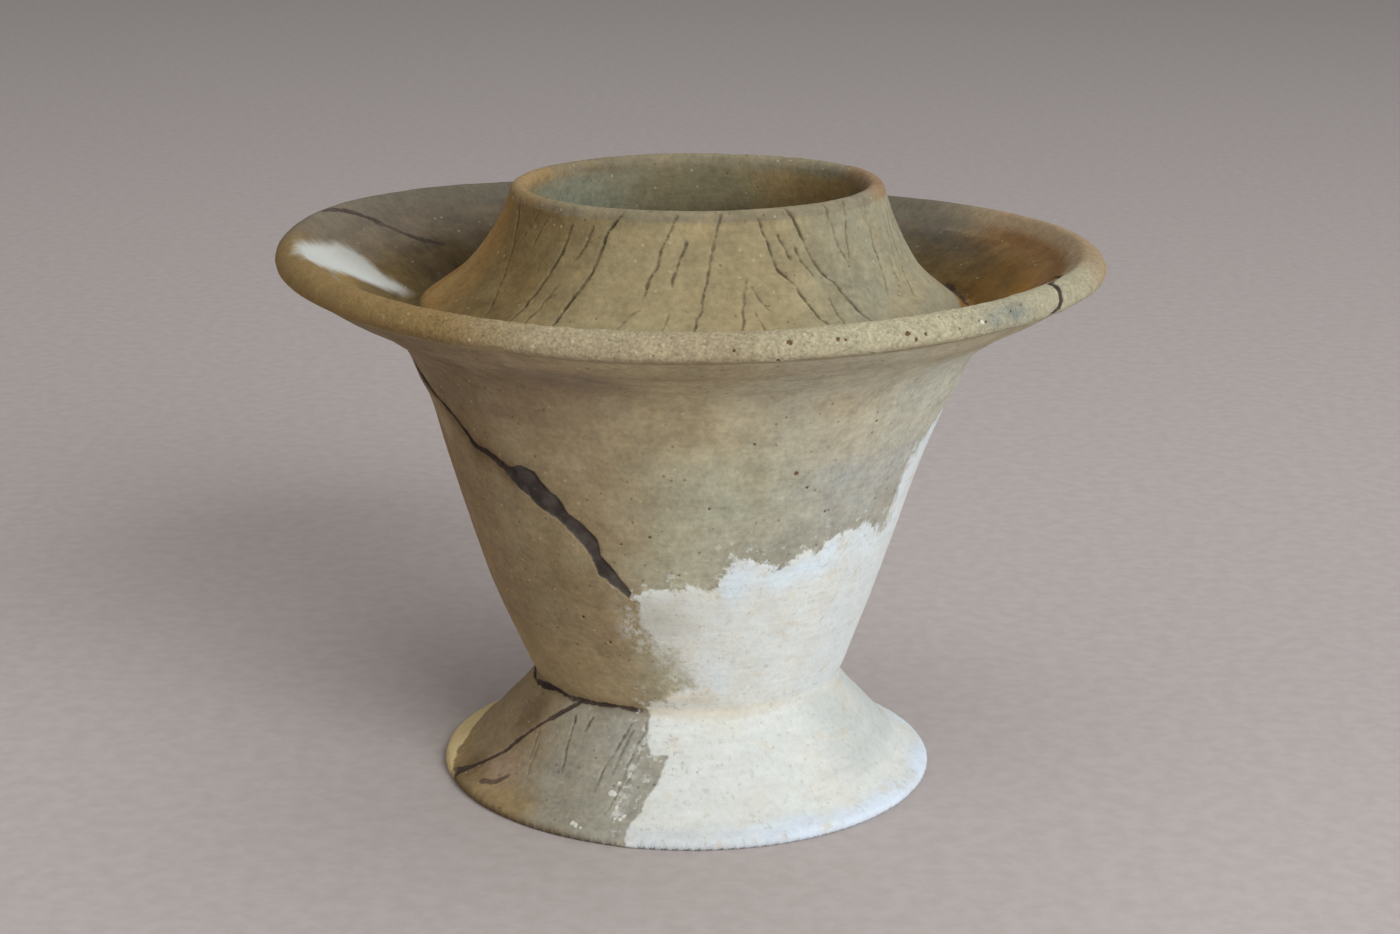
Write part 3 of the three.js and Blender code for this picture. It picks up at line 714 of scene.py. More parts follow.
def relief(th, s, P):
    """Height above the plain surface in millimetres, and the masks the material uses."""
    zone = zone_of(s)
    z = prof("z", s)
    r = prof("r", s)
    m = {}
    outside = np.isin(zone, [5, 6, 7])
    s_lip0, s_lip1 = PR["s"][PR["zone"] == 4].min(), PR["s"][PR["zone"] == 4].max()
    # sandy band: from the ridge to just under the widest circle, ragged at its lower edge
    wob = fbm(P, 9.0, 5, 3) * 1.5
    lip = soft(s, s_lip0 - 0.3, s_lip0 + 1.6) * (1 - soft(s + wob, s_lip1 - 2.4, s_lip1 - 0.2))
    m["lip"] = lip

    az = np.degrees((th + PI) % (2 * PI) - PI)
    m["sand"] = lip * (0.18 + 0.82 * soft(az + 8 * fbm(P, 14.0, 12, 2), -52, -24)) * (1 - 0.85 * soft(np.abs(az), 86, 104)) * (1 - 0.35 * soft(az, 34, 52))

    d = np.zeros(len(th))
    # hand-made unevenness and wiping
    ang = np.stack([np.cos(th), np.sin(th)], 1)
    wipe = np.stack([ang[:, 0] * 5.0, ang[:, 1] * 5.0, s / 1.1], 1)
    wide = np.stack([ang[:, 0] * 2.4, ang[:, 1] * 2.4, s / 4.2], 1)
    d += 0.20 * fbm(P, 30.0, 1, 2) + 0.07 * noise(wide, 1.0, 2) * outside + 0.035 * noise(wipe, 1.0, 4)
    d += 0.05 * fbm(P, 5.0, 6, 2)
    d += m["sand"] * (0.10 * noise(P, 1.9, 8) + 0.10 * noise(P, 1.1, 9)) + lip * 0.10 * fbm(P, 7.0, 13, 2)

    # strokes
    din = np.full(len(th), 3.0)
    sin_ = np.zeros(len(th))
    cut = np.zeros(len(th))
    for k, (strength, width, (ct, cs, cp)) in enumerate(strokes):
        dist, along = to_curve(P, cp, 3.0)
        near = dist < 3.0
        a = along[near]
        q = P[near]
        fade = soft(a, -0.04, 0.06) * (1 - 0.6 * soft(a, 0.86, 1.02))
        w = width * (0.75 + 0.45 * noise(q, 3.1, 60 + k)) * (0.6 + 0.4 * fade)
        dd = dist[near] + 0.16 * noise(q, 0.9, 90 + k)
        live = strength * fade * np.clip(0.95 + 0.6 * noise(q, 2.6, 130 + k), 0.3, 1.15)
        g = live * np.clip(1 - np.abs(dd) / (w * 1.25), 0, 1)
        burr = 0.09 * strength * fade * np.exp(-(((dd - w * 1.55) / 0.28) ** 2)) * np.clip(noise(q, 1.7, 170 + k) + 0.5, 0, 1)
        cut[near] = np.maximum(cut[near], g)
        d[near] += burr
        e = np.abs(dd) - w * 0.55
        old = din[near]
        closer = e < old
        din[near] = np.where(closer, e, old)
        sin_[near] = np.where(closer, live, sin_[near])
    d -= cut * 0.45
    m["incised"] = din
    m["incised_strength"] = np.clip(sin_, 0, 1.1)

    # cracks
    dcr = np.full(len(th), 3.0)
    dark = np.zeros(len(th))
    for k, (name, half, depth, darkness, (ct, cs, cp)) in enumerate(cracks):
        dist, along = to_curve(P, cp, 4.0)
        near = dist < 4.0
        q = P[near]
        a = along[near]
        w = half * (0.95 + 0.55 * fbm(q, 4.0, 210 + k, 2))
        if name == "body":
            w = half * (1.0 + 0.25 * fbm(q, 4.0, 210 + k, 2)) * (1.25 + 0.45 * soft(a, 0.75, 1.0)) * (1.75 - 0.70 * soft(a, 0.3, 0.65))
        if name == "foot":
            w = w * (1.0 + 2.1 * soft(a, 0.84, 1.0))
        if name == "waist_left":
            w = w * (0.8 + 0.35 * np.exp(-(((a - 0.6) / 0.14) ** 2)))
        if name == "rim_right":
            w = w * (0.7 + 0.5 * np.exp(-(((a - 0.55) / 0.3) ** 2)))
        dd = dist[near] + 0.22 * noise(q, 1.4, 230 + k)
        if name == "flange_left":
            dd = dd + 0.3 * noise(q, 2.5, 260)
        e = dd - w
        old = dcr[near]
        closer = e < old
        dcr[near] = np.where(closer, e, old)
        dark[near] = np.where(closer, darkness * (1 - soft(a, 0.97, 1.0) * 0.5), dark[near])
        d[near] -= depth * np.clip(1 - np.maximum(dd, 0) / (w * 1.3), 0, 1)
    m["crack"] = dcr
    m["crack_dark"] = dark

    # dark fill of the wide break in the body
    dist, _ = to_curve(P, filler_line, 4.0)
    fill = np.where(inside_region(th, s, filler_region), dist, -dist) + 0.25 * noise(P, 1.6, 300)
    fill = np.where(outside, fill, -4.0)
    m["filler"] = fill
    d += soft(fill, -0.25, 0.35) * (-0.30 + 0.16 * fbm(P, 2.2, 301, 2))

    # plaster
    dist, _ = to_curve(P, plaster_line, 12.0)
    on = np.isin(zone, [6, 7, 8])
    pl = np.where(inside_region(th, s, plaster_region), dist, -dist)
    pl = np.where(on, pl, -12.0)
    m["plaster"] = pl
    smudge = np.exp(-((deg_gap(th, -4.0) * r / 57.3 / 8.6) ** 2) - (((z - 29.0) / 6.2) ** 2)) * (zone == 6)
    diagonal = np.exp(-((deg_gap(th, -7.0) / 8.0) ** 2) - (((z - 36.0) / 6.0) ** 2)) * (zone == 6)
    m["feather"] = np.where(zone == 7, 0.30, 0.45) + 2.4 * smudge + 1.5 * diagonal + 1.3 * np.exp(-((deg_gap(th, 63.0) / 5.0) ** 2)) * (zone == 6)
    m["ragged"] = np.where(zone == 6, 1.0, 0.30)
    edge = soft(pl, -0.5, 0.5)
    d += edge * (0.10 + 0.12 * fbm(P, 7.0, 310, 3) + 0.03 * noise(P, 1.6, 311)) * (1 - smudge)
    dist, _ = to_curve(P, heel_line, 8.0)
    heel = np.where(inside_region(th, s, heel_region), dist, -dist)
    heel = np.where(np.isin(zone, [7, 8]), heel, -8.0)
    m["heel"] = heel
    d += soft(heel, -0.4, 0.4) * (0.12 + 0.1 * fbm(P, 6.0, 320, 2))

    # pits, droplets of plaster
    m["pits"] = np.maximum(bump_at(P, LIP_PITS, [4], 0.54), bump_at(P, BODY_PITS, [6], 0.6))
    d -= 0.35 * m["pits"]
    drops = np.maximum(bump_at(P, DROPS, [7], 1.0), bump_at(P, LIP_DOT, [4], 1.0))
    m["drops"] = drops
    dist, along = to_curve(P, smear_line[2], 5.0)
    m["dust"] = np.exp(-((dist / 1.25) ** 2)) * (zone == 7)
    for a0, z0, reach, share in ((-15.4, 39.6, 2.6, 0.9), (-12.6, 36.2, 2.4, 0.8), (-16.6, 43.6, 1.6, 0.7), (-6.0, 33.4, 2.6, 0.7)):
        t0, s0 = locate(a0, z0, [6])
        gap = np.linalg.norm(P - base_point(np.array([t0]), np.array([s0]))[0], axis=1)
        m["dust"] = np.maximum(m["dust"], share * np.exp(-((gap / reach) ** 2)))
    d += 0.22 * np.sqrt(drops)

    # chipped inner edge of the mouth, soft wear
    mouth = np.isin(zone, [1])
    d -= mouth * np.clip(fbm(P, 4.0, 330, 2) - 0.25, 0, 1) * 0.5
    # waist groove: a little debris
    m["waist"] = np.exp(-(((s - s_at([6], WAIST_Z)[0]) / 1.1) ** 2))

    # the standing ring stays flat, and nothing goes below it
    ring = np.exp(-((z / 0.5) ** 2)) * (r > 41)
    d = d * (1 - 0.9 * ring)
    return d, m


# =====================================================================================================================
# Broad colour of the fired clay: a few tones laid by region
# =====================================================================================================================
def lin(*rgb):
    c = np.array(rgb, float) / 255.0
    return np.where(c <= 0.04045, c / 12.92, ((c + 0.055) / 1.055) ** 2.4)


def paint(base, mask, colour):
    return base + (lin(*colour)[None, :] - base) * np.clip(mask, 0, 1)[:, None]


# colour of the painted highlight, a whitish sheen on the flange
SHEEN_WHITE = (194, 196, 190)


def tones(th, s, P, m):
    zone, z, r = zone_of(s), prof("z", s), prof("r", s)
    az = np.degrees((th + PI) % (2 * PI) - PI)
    ridge = PR["s"][PR["zone"] == 4].min()
    n1, n2, n3 = fbm(P, 26.0, 401, 3), fbm(P, 11.0, 402, 3), fbm(P, 5.0, 403, 2)
    body, under = zone == 6, zone == 5
    both = body | under
    bk = 1 - soft(np.abs(az) + 5 * n2, 138, 172)  # what differs from side to side fades out at the back
    right = lambda a, b: soft(az + 9 * n1 + 5 * n2, a, b) * (1 - soft(np.abs(az), 118, 150))
    c = np.tile(lin(150, 134, 105), (len(th), 1))
    # body: brown at the left, beige in the middle, grey toward the right
    c = paint(c, both * right(-27, 8), (168, 166, 144))
    c = paint(c, both * right(8, 46), (168, 168, 160))
    c = paint(c, body * np.exp(-((deg_gap(th, -27) / 13) ** 2) - (((z - 52) / 13) ** 2)) * 0.55, (138, 120, 88))
    c = paint(c, both * (1 - soft(az + 9 * n2, -70, -40)) * bk * 0.7, (144, 121, 90))
    # greyer firing above the plaster
    c = paint(c, body * soft(az + 5 * n2, 0, 14) * (1 - soft(az, 60, 78)) * (1 - soft(z + 3 * n2, 57, 70)) * 0.55, (152, 149, 134))
    # ochre band under the flange and over its underside
    band = both * soft(z + 3.5 * n2 + 2 * n1, 71, 82) * 0.75
    c = paint(c, band, (178, 162, 127))
    c = paint(c, band * (1 - soft(az + 6 * n2, -28, -4)) * bk, (158, 140, 112))
    c = paint(c, band * soft(az + 6 * n2, 0, 20) * (1 - soft(az, 110, 130)), (182, 179, 160))
    c = paint(c, band * soft(az + 6 * n2, 36, 54) * (1 - soft(az, 110, 130)), (183, 184, 172))
    c = paint(c, under * (1 - soft(az + 8 * n2, -44, -18)) * bk * 0.85, (124, 106, 84))
    c = paint(c, under * soft(az + 6 * n2, 26, 50) * (1 - soft(az, 110, 130)) * soft(r + 2 * n2, 60, 67) * 0.6, (162, 146, 112))
    stain = np.exp(-((deg_gap(th, -19) / 11) ** 2) - (((r - 64.5) / 7.5) ** 2)) * under
    c = paint(c, np.clip(stain * (1.0 + 1.1 * n2), 0, 1) * 0.75, (122, 106, 94))
    stain = np.exp(-((deg_gap(th, 8) / 20) ** 2) - (((r - 72.0) / 3.6) ** 2)) * under
    c = paint(c, np.clip(stain * (0.8 + 1.2 * n2), 0, 1) * 0.55, (138, 120, 92))
    stain = np.exp(-((deg_gap(th, 30) / 10) ** 2) - (((z - 86.0) / 2.6) ** 2)) * both
    c = paint(c, np.clip(stain * (0.8 + 1.4 * n2), 0, 1) * 0.35, (152, 130, 98))
    # cloudy patches
    c = paint(c, both * np.clip(n2 * 1.5, 0, 1) * 0.30, (186, 176, 148))
    c = paint(c, both * np.clip(-n2 * 1.5, 0, 1) * 0.30, (136, 120, 92))
    c = paint(c, body * np.exp(-((deg_gap(th, -24) / 12) ** 2) - (((z - 37) / 8) ** 2)) * 0.3, (140, 116, 84))
    c = paint(c, body * (1 - soft(z + 2 * n2, 26, 38)) * (1 - soft(az, -30, -8)) * bk * 0.7, (172, 152, 115))
    # painted shade: the clay beside the upper part of the body crack is darkened, as shade along the crack
    crack_shade = np.exp(-((np.maximum(m["crack"], 0) / 1.9) ** 2)) * (zone == 6) * (z > 60) * (az < -40)
    c = paint(c, np.clip(crack_shade * (1.0 + 0.8 * n3), 0, 1) * 0.75, (100, 80, 56))
    # painted shade: a dark patch under the flange at the left, round the top of the body crack
    c = paint(c, body * np.exp(-((deg_gap(th, -56) / 13) ** 2) - (((z - 79) / 8.0) ** 2)) * 0.8, (122, 103, 75))
    # foot clay: grey in the middle, tan to the left, yellower low
    foot = zone == 7
    c = paint(c, foot, (147, 142, 127))
    c = paint(c, foot * (1 - soft(az + 6 * n2, -58, -38)) * bk, (144, 127, 99))
    c = paint(c, foot * (1 - soft(z + 2.0 * n2, 3.0, 6.5)) * soft(-az, 34, 44) * bk * 0.85, (150, 128, 88))
    # painted shade: the foot's lowest edge is darkened from the front round to the left, as shade under its rounded
    # edge
    low = np.isin(zone, [7, 8]) * (1 - soft(z + 0.5 * n3, 0.9, 2.3)) * soft(-az, 12, 18) * (1 - soft(-az, 96, 110))
    c = paint(c, low * 0.6, (116, 98, 72))
    c = paint(c, foot * np.exp(-((deg_gap(th, -58) / 7) ** 2) - (((z - 5.5) / 2.4) ** 2)) * 0.7, (168, 142, 122))
    c = paint(c, foot * soft(az, -30, -23) * bk * (1 - soft(z, 15, 19)) * 0.5, (138, 136, 120))
    c = paint(c, foot * soft(az + 4 * n2, -34, -20) * bk * 0.30, (186, 184, 174))
    c = paint(c, foot * np.exp(-((deg_gap(th, -70) / 6) ** 2) - (((z - 3.6) / 2.6) ** 2)) * 0.75, (92, 74, 54))
    c = paint(c, foot * np.exp(-((deg_gap(th, -62) / 7) ** 2) - (((z - 14.0) / 4.0) ** 2)) * 0.75, (104, 86, 62))
    # collar: warm ochre left, paler and greyer right
    col = np.isin(zone, [1, 2])
    c = paint(c, col, (152, 139, 106))
    c = paint(c, col * (1 - soft(az + 10 * n2, -50, -21)) * bk, (113, 94, 60))
    c = paint(c, col * (1 - soft(az + 8 * n2, -84, -58)) * (1 - soft(-az + 8 * n2, 104, 146)) * 0.8, (158, 122, 70))
    c = paint(c, col * right(14, 44), (146, 140, 117))
    c = paint(c, col * np.clip(n2 * 1.8, 0, 1) * 0.32, (170, 150, 108))
    c = paint(c, col * np.clip(n3 * 1.6 - 0.2, 0, 1) * 0.3, (122, 108, 82))
    c = paint(c, (zone == 1) * 0.7, (126, 118, 99))
    c = paint(c, (zone == 1) * (1 - soft(az, -64, -44)) * (az > -120) * 0.7, (150, 124, 84))
    c = paint(c, (zone == 1) * soft(az, 60, 75) * (1 - soft(az, 110, 125)) * 0.5, (150, 110, 74))
    # upper face of the flange
    top = zone == 3
    c = paint(c, top, (90, 74, 45))
    c = paint(c, top * soft(np.abs(az + 4 * n2), 100, 124) * soft(r + 4 * n2, 56, 66), (78, 71, 58))
    c = paint(c, top * (1 - soft(az, -100, -92)) * bk * soft(r + 2 * n2, 60, 68), (104, 92, 78))
    c = paint(c, top * np.exp(-((deg_gap(th, 78) / 26) ** 2)) * np.clip(0.9 + n2, 0, 1), (138, 98, 42))
    c = paint(c, top * np.exp(-((deg_gap(th, -114) / 6) ** 2) - (((r - 58) / 4) ** 2)) * 0.7, (62, 52, 40))
    c = paint(c, top * np.exp(-((deg_gap(th, -121) / 3) ** 2) - (((r - 57) / 3) ** 2)) * 0.6, (66, 56, 44))
    # a soft grey rounded inner edge before the sandy lip
    edge = np.exp(-(((s - ridge + 0.4) / 2.0) ** 2)) * np.isin(zone, [3, 4])
    c = paint(c, edge * 0.75 * (1 - soft(np.abs(az), 82, 98)) * (1 - 0.75 * np.exp(-((deg_gap(th, 82) / 24) ** 2))), (128, 122, 108))
    strip = np.exp(-((np.minimum(s - ridge + 1.5, 0) / 4.5) ** 2)) * np.isin(zone, [3]) * soft(az, -94, -84) * (1 - soft(az, -46, -30))
    c = paint(c, strip * 0.9, (140, 116, 74))
    # sandy lip: rough buff, warmer at the left
    c = paint(c, m["lip"], (158, 145, 117))
    c = paint(c, m["lip"] * (1 - soft(az + 6 * n2, -38, -12)) * (az > -100), (134, 111, 72))
    c = paint(c, m["lip"] * soft(az + 6 * n2, 4, 22) * (1 - soft(az, 100, 130)), (168, 160, 133))
    c = paint(c, m["lip"] * soft(az + 6 * n2, 30, 48) * (1 - soft(az, 100, 130)), (158, 151, 127))
    c = paint(c, m["lip"] * soft(az + 6 * n2, 60, 80) * (1 - soft(az, 118, 138)) * 0.8, (152, 127, 98))
    c = paint(c, m["lip"] * (1 - soft(az, -96, -78)) * 0.9, (112, 102, 88))
    inner = (zone == 4) * (1 - soft(s - ridge, 1.6, 5.6)) + (zone == 3) * (1 - soft(ridge - s + 1.5 * n2, 0.0, 6.5))
    c = paint(c, inner * soft(az, 62, 76) * (1 - soft(az, 112, 132)), (124, 93, 58))
    c = paint(c, inner * np.where(az > 0, soft(az, 116, 136), soft(-az, 104, 120)), (96, 88, 76))
    c = paint(c, m["lip"] * np.where(az > 0, soft(az, 118, 140), soft(-az, 104, 126)), (106, 99, 85))
    back_left = np.exp(-(((s - ridge - 0.6) / 2.6) ** 2)) * np.isin(zone, [3, 4]) * (1 - soft(az, -99, -92)) * bk
    c = paint(c, back_left, (106, 96, 82))
    # blue-grey smudge on the lip at the right
    t0, s0 = locate(43.6, 104.4, [4], 79.0)
    sm = np.exp(-((deg_gap(th, 43.6) / 4.2) ** 2) - (((s - s0) / 1.9) ** 2))
    c = paint(c, sm * np.clip(1.0 + 1.4 * n3, 0, 1) * 0.85, (112, 120, 116))
    # inside of the mouth: greenish grey at the left and back, brown at the right, darker down the throat
    ins = zone == 0
    c = paint(c, ins, (126, 117, 90))
    c = paint(c, ins * soft(-az, 90, 130) * bk, (131, 131, 112))
    c = paint(c, ins * soft(az, 90, 116) * (1 - soft(az, 146, 168)) * 0.9, (156, 132, 90))
    c = paint(c, ins * (1 - soft(z + 2 * n2, 100, 110)) * 0.6, (100, 92, 72))
    # dirt in the waist
    c = paint(c, m["waist"] * (1 - soft(m["plaster"], -1, 1)) * 0.5, (96, 82, 62))
    # a light spot on the far rim
    t0, s0 = locate(144.1, 104.9, [3], 75.0)
    gap = np.linalg.norm(P - base_point(np.array([t0]), np.array([s0]))[0], axis=1)
    c = paint(c, np.exp(-((gap / 1.7) ** 2)) * 0.8, (178, 168, 148))
    # plaster tones
    p = np.tile(lin(211, 213, 208), (len(th), 1))
    pb = np.clip(1 - np.abs(m["plaster"] - 3.0) / 4.5, 0, 1) * body * soft(az + 4 * n3, 4, 14)
    p = paint(p, pb * np.clip(0.9 + 0.8 * n2, 0, 1), (212, 224, 232))
    # painted highlight: the plaster on the foot's rounded lower edge is bluer, and lighter toward the front right
    p = paint(p, (zone == 7) * (1 - soft(z + 1.4 * n2, 2.2, 4.2)) * 0.9, (204, 209, 212))
    p = paint(p, (zone == 7) * (1 - soft(z + 1.4 * n2, 1.8, 3.6)) * soft(az, 8, 30) * 0.9, (211, 220, 230))
    p = paint(p, (zone == 7) * soft(z + 2 * n2, 4, 8) * soft(az, 36, 58) * 0.8, (188, 191, 187))
    p = paint(p, body * np.clip(0.1 + 1.5 * n3, 0, 1) * 0.42, (204, 196, 176))
    p = paint(p, body * np.clip(1.9 * n2 - 0.2, 0, 1) * 0.45, (206, 192, 164))
    p = paint(p, (zone == 7) * np.clip(n2 * 1.4 + 0.05, 0, 1) * 0.35, (210, 202, 182))
    p = paint(p, body * soft(az, 34, 52) * 0.7, (204, 209, 209))
    p = paint(p, body * np.exp(-((deg_gap(th, -7) / 9) ** 2) - (((z - 42.0) / 4.5) ** 2)) * 0.8, (178, 174, 160))
    p = paint(p, m["waist"] * 0.55 * (1 - 0.7 * soft(az, 16, 40)), (204, 188, 154))
    p = paint(p, body * np.exp(-(((z - 22.8 - 0.6 * n3) / 1.3) ** 2)) * (1 - soft(az, 4, 16)) * 0.4, (200, 178, 142))
    return c, p


def sheen_patch_distance(th, s, P):
    """Signed distance into the painted highlight on the flange, a whitish sheen, in millimetres."""
    dist, _ = to_curve(P, patch_line, 6.0)
    inside = inside_region(th, s, patch_region) & np.isin(zone_of(s), [3, 4])
    return np.where(inside, dist, -dist)


th, s, tri, P = build_surface(1.10)
height, masks = relief(th, s, P)
n0 = normals_of(P, tri)
V = P + n0 * height[:, None]
V[:, 2] = np.maximum(V[:, 2], 0.0)
clay, plaster_tone = tones(th, s, P, masks)
# masks of the painted highlight on the flange
masks["white"] = sheen_patch_distance(th, s, P)
masks["white_fade"] = 1 - 0.35 * soft(-np.degrees((th + PI) % (2 * PI) - PI), 84, 98)
print("surface:", len(th), "vertices,", len(tri), "triangles, relief", round(float(height.min()), 2), round(float(height.max()), 2))

mesh = bpy.data.meshes.new("footed_jar_surface")
mesh.vertices.add(len(V))
mesh.vertices.foreach_set("co", (V * MM).astype(np.float32).ravel())
mesh.loops.add(len(tri) * 3)
mesh.loops.foreach_set("vertex_index", tri.astype(np.int32).ravel())
mesh.polygons.add(len(tri))
mesh.polygons.foreach_set("loop_start", (np.arange(len(tri)) * 3).astype(np.int32))
mesh.polygons.foreach_set("use_smooth", np.ones(len(tri), bool))
mesh.update(calc_edges=True)
mesh.validate()
for name, values in masks.items():
    a = mesh.attributes.new("m_" + name, "FLOAT", "POINT")
    a.data.foreach_set("value", values.astype(np.float32))
for name, values in (("clay_tone", clay), ("plaster_tone", plaster_tone)):
    a = mesh.attributes.new(name, "FLOAT_COLOR", "POINT")
    a.data.foreach_set("color", np.hstack([values, np.ones((len(values), 1))]).astype(np.float32).ravel())
jar = bpy.data.objects.new("jar_surface", mesh)
bpy.context.scene.collection.objects.link(jar)


# =====================================================================================================================
# Material
# =====================================================================================================================
class Graph:
    def __init__(self, name):
        self.mat = bpy.data.materials.new(name)
        self.mat.use_nodes = True
        self.t = self.mat.node_tree
        self.t.nodes.clear()
        self.out = self.t.nodes.new("ShaderNodeOutputMaterial")

    def node(self, kind, **sockets):
        n = self.t.nodes.new(kind)
        for k, v in sockets.items():
            self.put(n.inputs[int(k[1:])] if k[0] == "i" and k[1:].isdigit() else n.inputs[k], v)
        return n

    def put(self, socket, v):
        if isinstance(v, bpy.types.NodeSocket):
            self.t.links.new(v, socket)
        elif v is not None:
            socket.default_value = v

    def math(self, op, a, b=None, c=None, clamp=False):
        n = self.t.nodes.new("ShaderNodeMath")
        n.operation = op
        n.use_clamp = clamp
        for k, v in enumerate((a, b, c)):
            if v is not None:
                self.put(n.inputs[k], v)
        return n.outputs[0]

    def attr(self, name, colour=False):
        n = self.t.nodes.new("ShaderNodeAttribute")
        n.attribute_name = name
        return n.outputs["Color" if colour else "Fac"]

    def mix(self, fac, a, b, kind="MIX"):
        n = self.t.nodes.new("ShaderNodeMix")
        n.data_type = "RGBA"
        n.blend_type = kind
        n.clamp_factor = True
        self.put(n.inputs[0], fac)
        self.put(n.inputs[6], a)
        self.put(n.inputs[7], b)
        return n.outputs[2]

    def ramp(self, x, a, b, lo=0.0, hi=1.0, smooth=True):
        n = self.t.nodes.new("ShaderNodeMapRange")
        n.interpolation_type = "SMOOTHSTEP" if smooth else "LINEAR"
        n.clamp = True
        self.put(n.inputs[0], x)
        for k, v in zip((1, 2, 3, 4), (a, b, lo, hi)):
            self.put(n.inputs[k], v)
        return n.outputs[0]

    def noise(self, vec, size, detail=2.0, rough=0.5, offset=(0, 0, 0)):
        """Object-space noise, features about size millimetres across; 0..1 round 0.5."""
        mp = self.t.nodes.new("ShaderNodeMapping")
        self.put(mp.inputs["Vector"], vec)
        mp.inputs["Location"].default_value = offset
        n = self.t.nodes.new("ShaderNodeTexNoise")
        self.put(n.inputs["Vector"], mp.outputs[0])
        n.inputs["Scale"].default_value = 1.0 / size
        n.inputs["Detail"].default_value = detail
        n.inputs["Roughness"].default_value = rough
        return n.outputs[0]

    def voronoi(self, vec, size, offset=(0, 0, 0)):
        mp = self.t.nodes.new("ShaderNodeMapping")
        self.put(mp.inputs["Vector"], vec)
        mp.inputs["Location"].default_value = offset
        n = self.t.nodes.new("ShaderNodeTexVoronoi")
        self.put(n.inputs["Vector"], mp.outputs[0])
        n.inputs["Scale"].default_value = 1.0 / size
        return n.outputs["Distance"], n.outputs["Color"]


def rgb(*v):
    return (*[float(x) for x in lin(*v)], 1.0)


g = Graph("fired_clay_and_plaster")
coord = g.t.nodes.new("ShaderNodeTexCoord").outputs["Object"]
mm = g.t.nodes.new("ShaderNodeVectorMath")
mm.operation = "SCALE"
mm.inputs["Scale"].default_value = 1000.0
g.put(mm.inputs[0], coord)
mm = mm.outputs[0]
flat = g.t.nodes.new("ShaderNodeMapping")  # squeezed upright, so that its noise makes level streaks
g.put(flat.inputs["Vector"], mm)
flat.inputs["Scale"].default_value = (0.10, 0.10, 1.0)
flat = flat.outputs[0]

grain = g.noise(mm, 0.42, 2.0, 0.6)
fine = g.noise(mm, 1.1, 3.0, 0.6, (7, 3, 1))
mid = g.noise(mm, 3.6, 4.0, 0.62, (1, 9, 4))
big = g.noise(mm, 12.0, 4.0, 0.6, (5, 2, 8))
streak = g.noise(flat, 0.9, 3.0, 0.55, (2, 2, 2))
gd, gc = g.voronoi(mm, 1.25)
gd2, gc2 = g.voronoi(mm, 2.3, (4, 1, 7))

# clay: the broad tone times factors round one
def shade(colour, *terms):
    """colour times 1 + the sum of weight * (noise - 0.5) * 2."""
    f = None
    for n, w in terms:
        v = g.math("MULTIPLY_ADD", n, 2.0 * w, -w)
        f = v if f is None else g.math("ADD", f, v)
    n = g.t.nodes.new("ShaderNodeVectorMath")
    n.operation = "SCALE"
    g.put(n.inputs[0], colour)
    g.put(n.inputs["Scale"], g.math("ADD", f, 1.0))
    return n.outputs[0]


lipm = g.attr("m_lip")
tone = g.attr("clay_tone", True)
warm = g.noise(mm, 6.5, 3.0, 0.6, (8, 4, 2))
col = g.mix(g.ramp(warm, 0.40, 0.62, 0.0, 0.09), tone, rgb(166, 138, 92))
col = shade(col, (big, 0.18), (mid, 0.32), (streak, 0.13), (fine, 0.32))
sel = g.t.nodes.new("ShaderNodeSeparateColor")
g.put(sel.inputs[0], gc)
pale = g.math("MULTIPLY", g.ramp(gd, 0.30, 0.16), g.ramp(sel.outputs[0], 0.93, 0.97))
dark = g.math("MULTIPLY", g.ramp(gd, 0.30, 0.16), g.ramp(sel.outputs[1], 0.90, 0.94))
col = g.mix(g.math("MULTIPLY", pale, 0.35), col, rgb(206, 194, 164))
col = g.mix(g.math("MULTIPLY", dark, 0.50), col, rgb(82, 68, 52))
# the lip's sandy skin
sand = g.noise(mm, 0.62, 2.0, 0.65, (3, 8, 6))
sandv = g.math("MULTIPLY_ADD", g.math("SUBTRACT", sand, 0.5), g.attr("m_sand"), 0.5)
lipcol = shade(tone, (sandv, 0.62), (mid, 0.26), (fine, 0.30))
lipcol = g.mix(g.math("MULTIPLY", g.ramp(gd, 0.32, 0.18), g.math("MULTIPLY", g.attr("m_sand"), g.ramp(sel.outputs[2], 0.84, 0.90, 0.0, 0.38))), lipcol, rgb(206, 196, 168))
lipcol = g.mix(g.math("MULTIPLY", g.ramp(gd, 0.28, 0.14), g.ramp(sel.outputs[1], 0.90, 0.94, 0.0, 0.45)), lipcol, rgb(98, 68, 46))
col = g.mix(lipm, col, lipcol)
# pits
col = g.mix(g.ramp(g.attr("m_pits"), 0.25, 0.6, 0.0, 0.85), col, rgb(92, 60, 44))
# painted highlight on the flange: a whitish sheen painted as colour, weaker toward the back
white = g.ramp(g.math("ADD", g.attr("m_white"), g.math("MULTIPLY_ADD", mid, 3.0, -1.5)), -1.6, 2.6, 0.0, 0.92)
white = g.math("MULTIPLY", white, g.attr("m_white_fade"))
col = g.mix(white, col, rgb(*SHEEN_WHITE))
# strokes
inc = g.math("ADD", g.attr("m_incised"), g.math("MULTIPLY_ADD", fine, 0.30, -0.15))
incf = g.math("MULTIPLY", g.ramp(inc, 0.26, -0.10), g.math("MULTIPLY", g.attr("m_incised_strength"), 0.95))
col = g.mix(incf, col, rgb(84, 74, 57))

# plaster
pl = g.math("ADD", g.math("MULTIPLY_ADD", fine, 2.4, -1.2), g.math("MULTIPLY_ADD", mid, 6.0, -3.0))
pl = g.math("MULTIPLY_ADD", pl, g.attr("m_ragged"), g.attr("m_plaster"))
plf = g.ramp(g.math("DIVIDE", pl, g.attr("m_feather")), -1.0, 1.0)
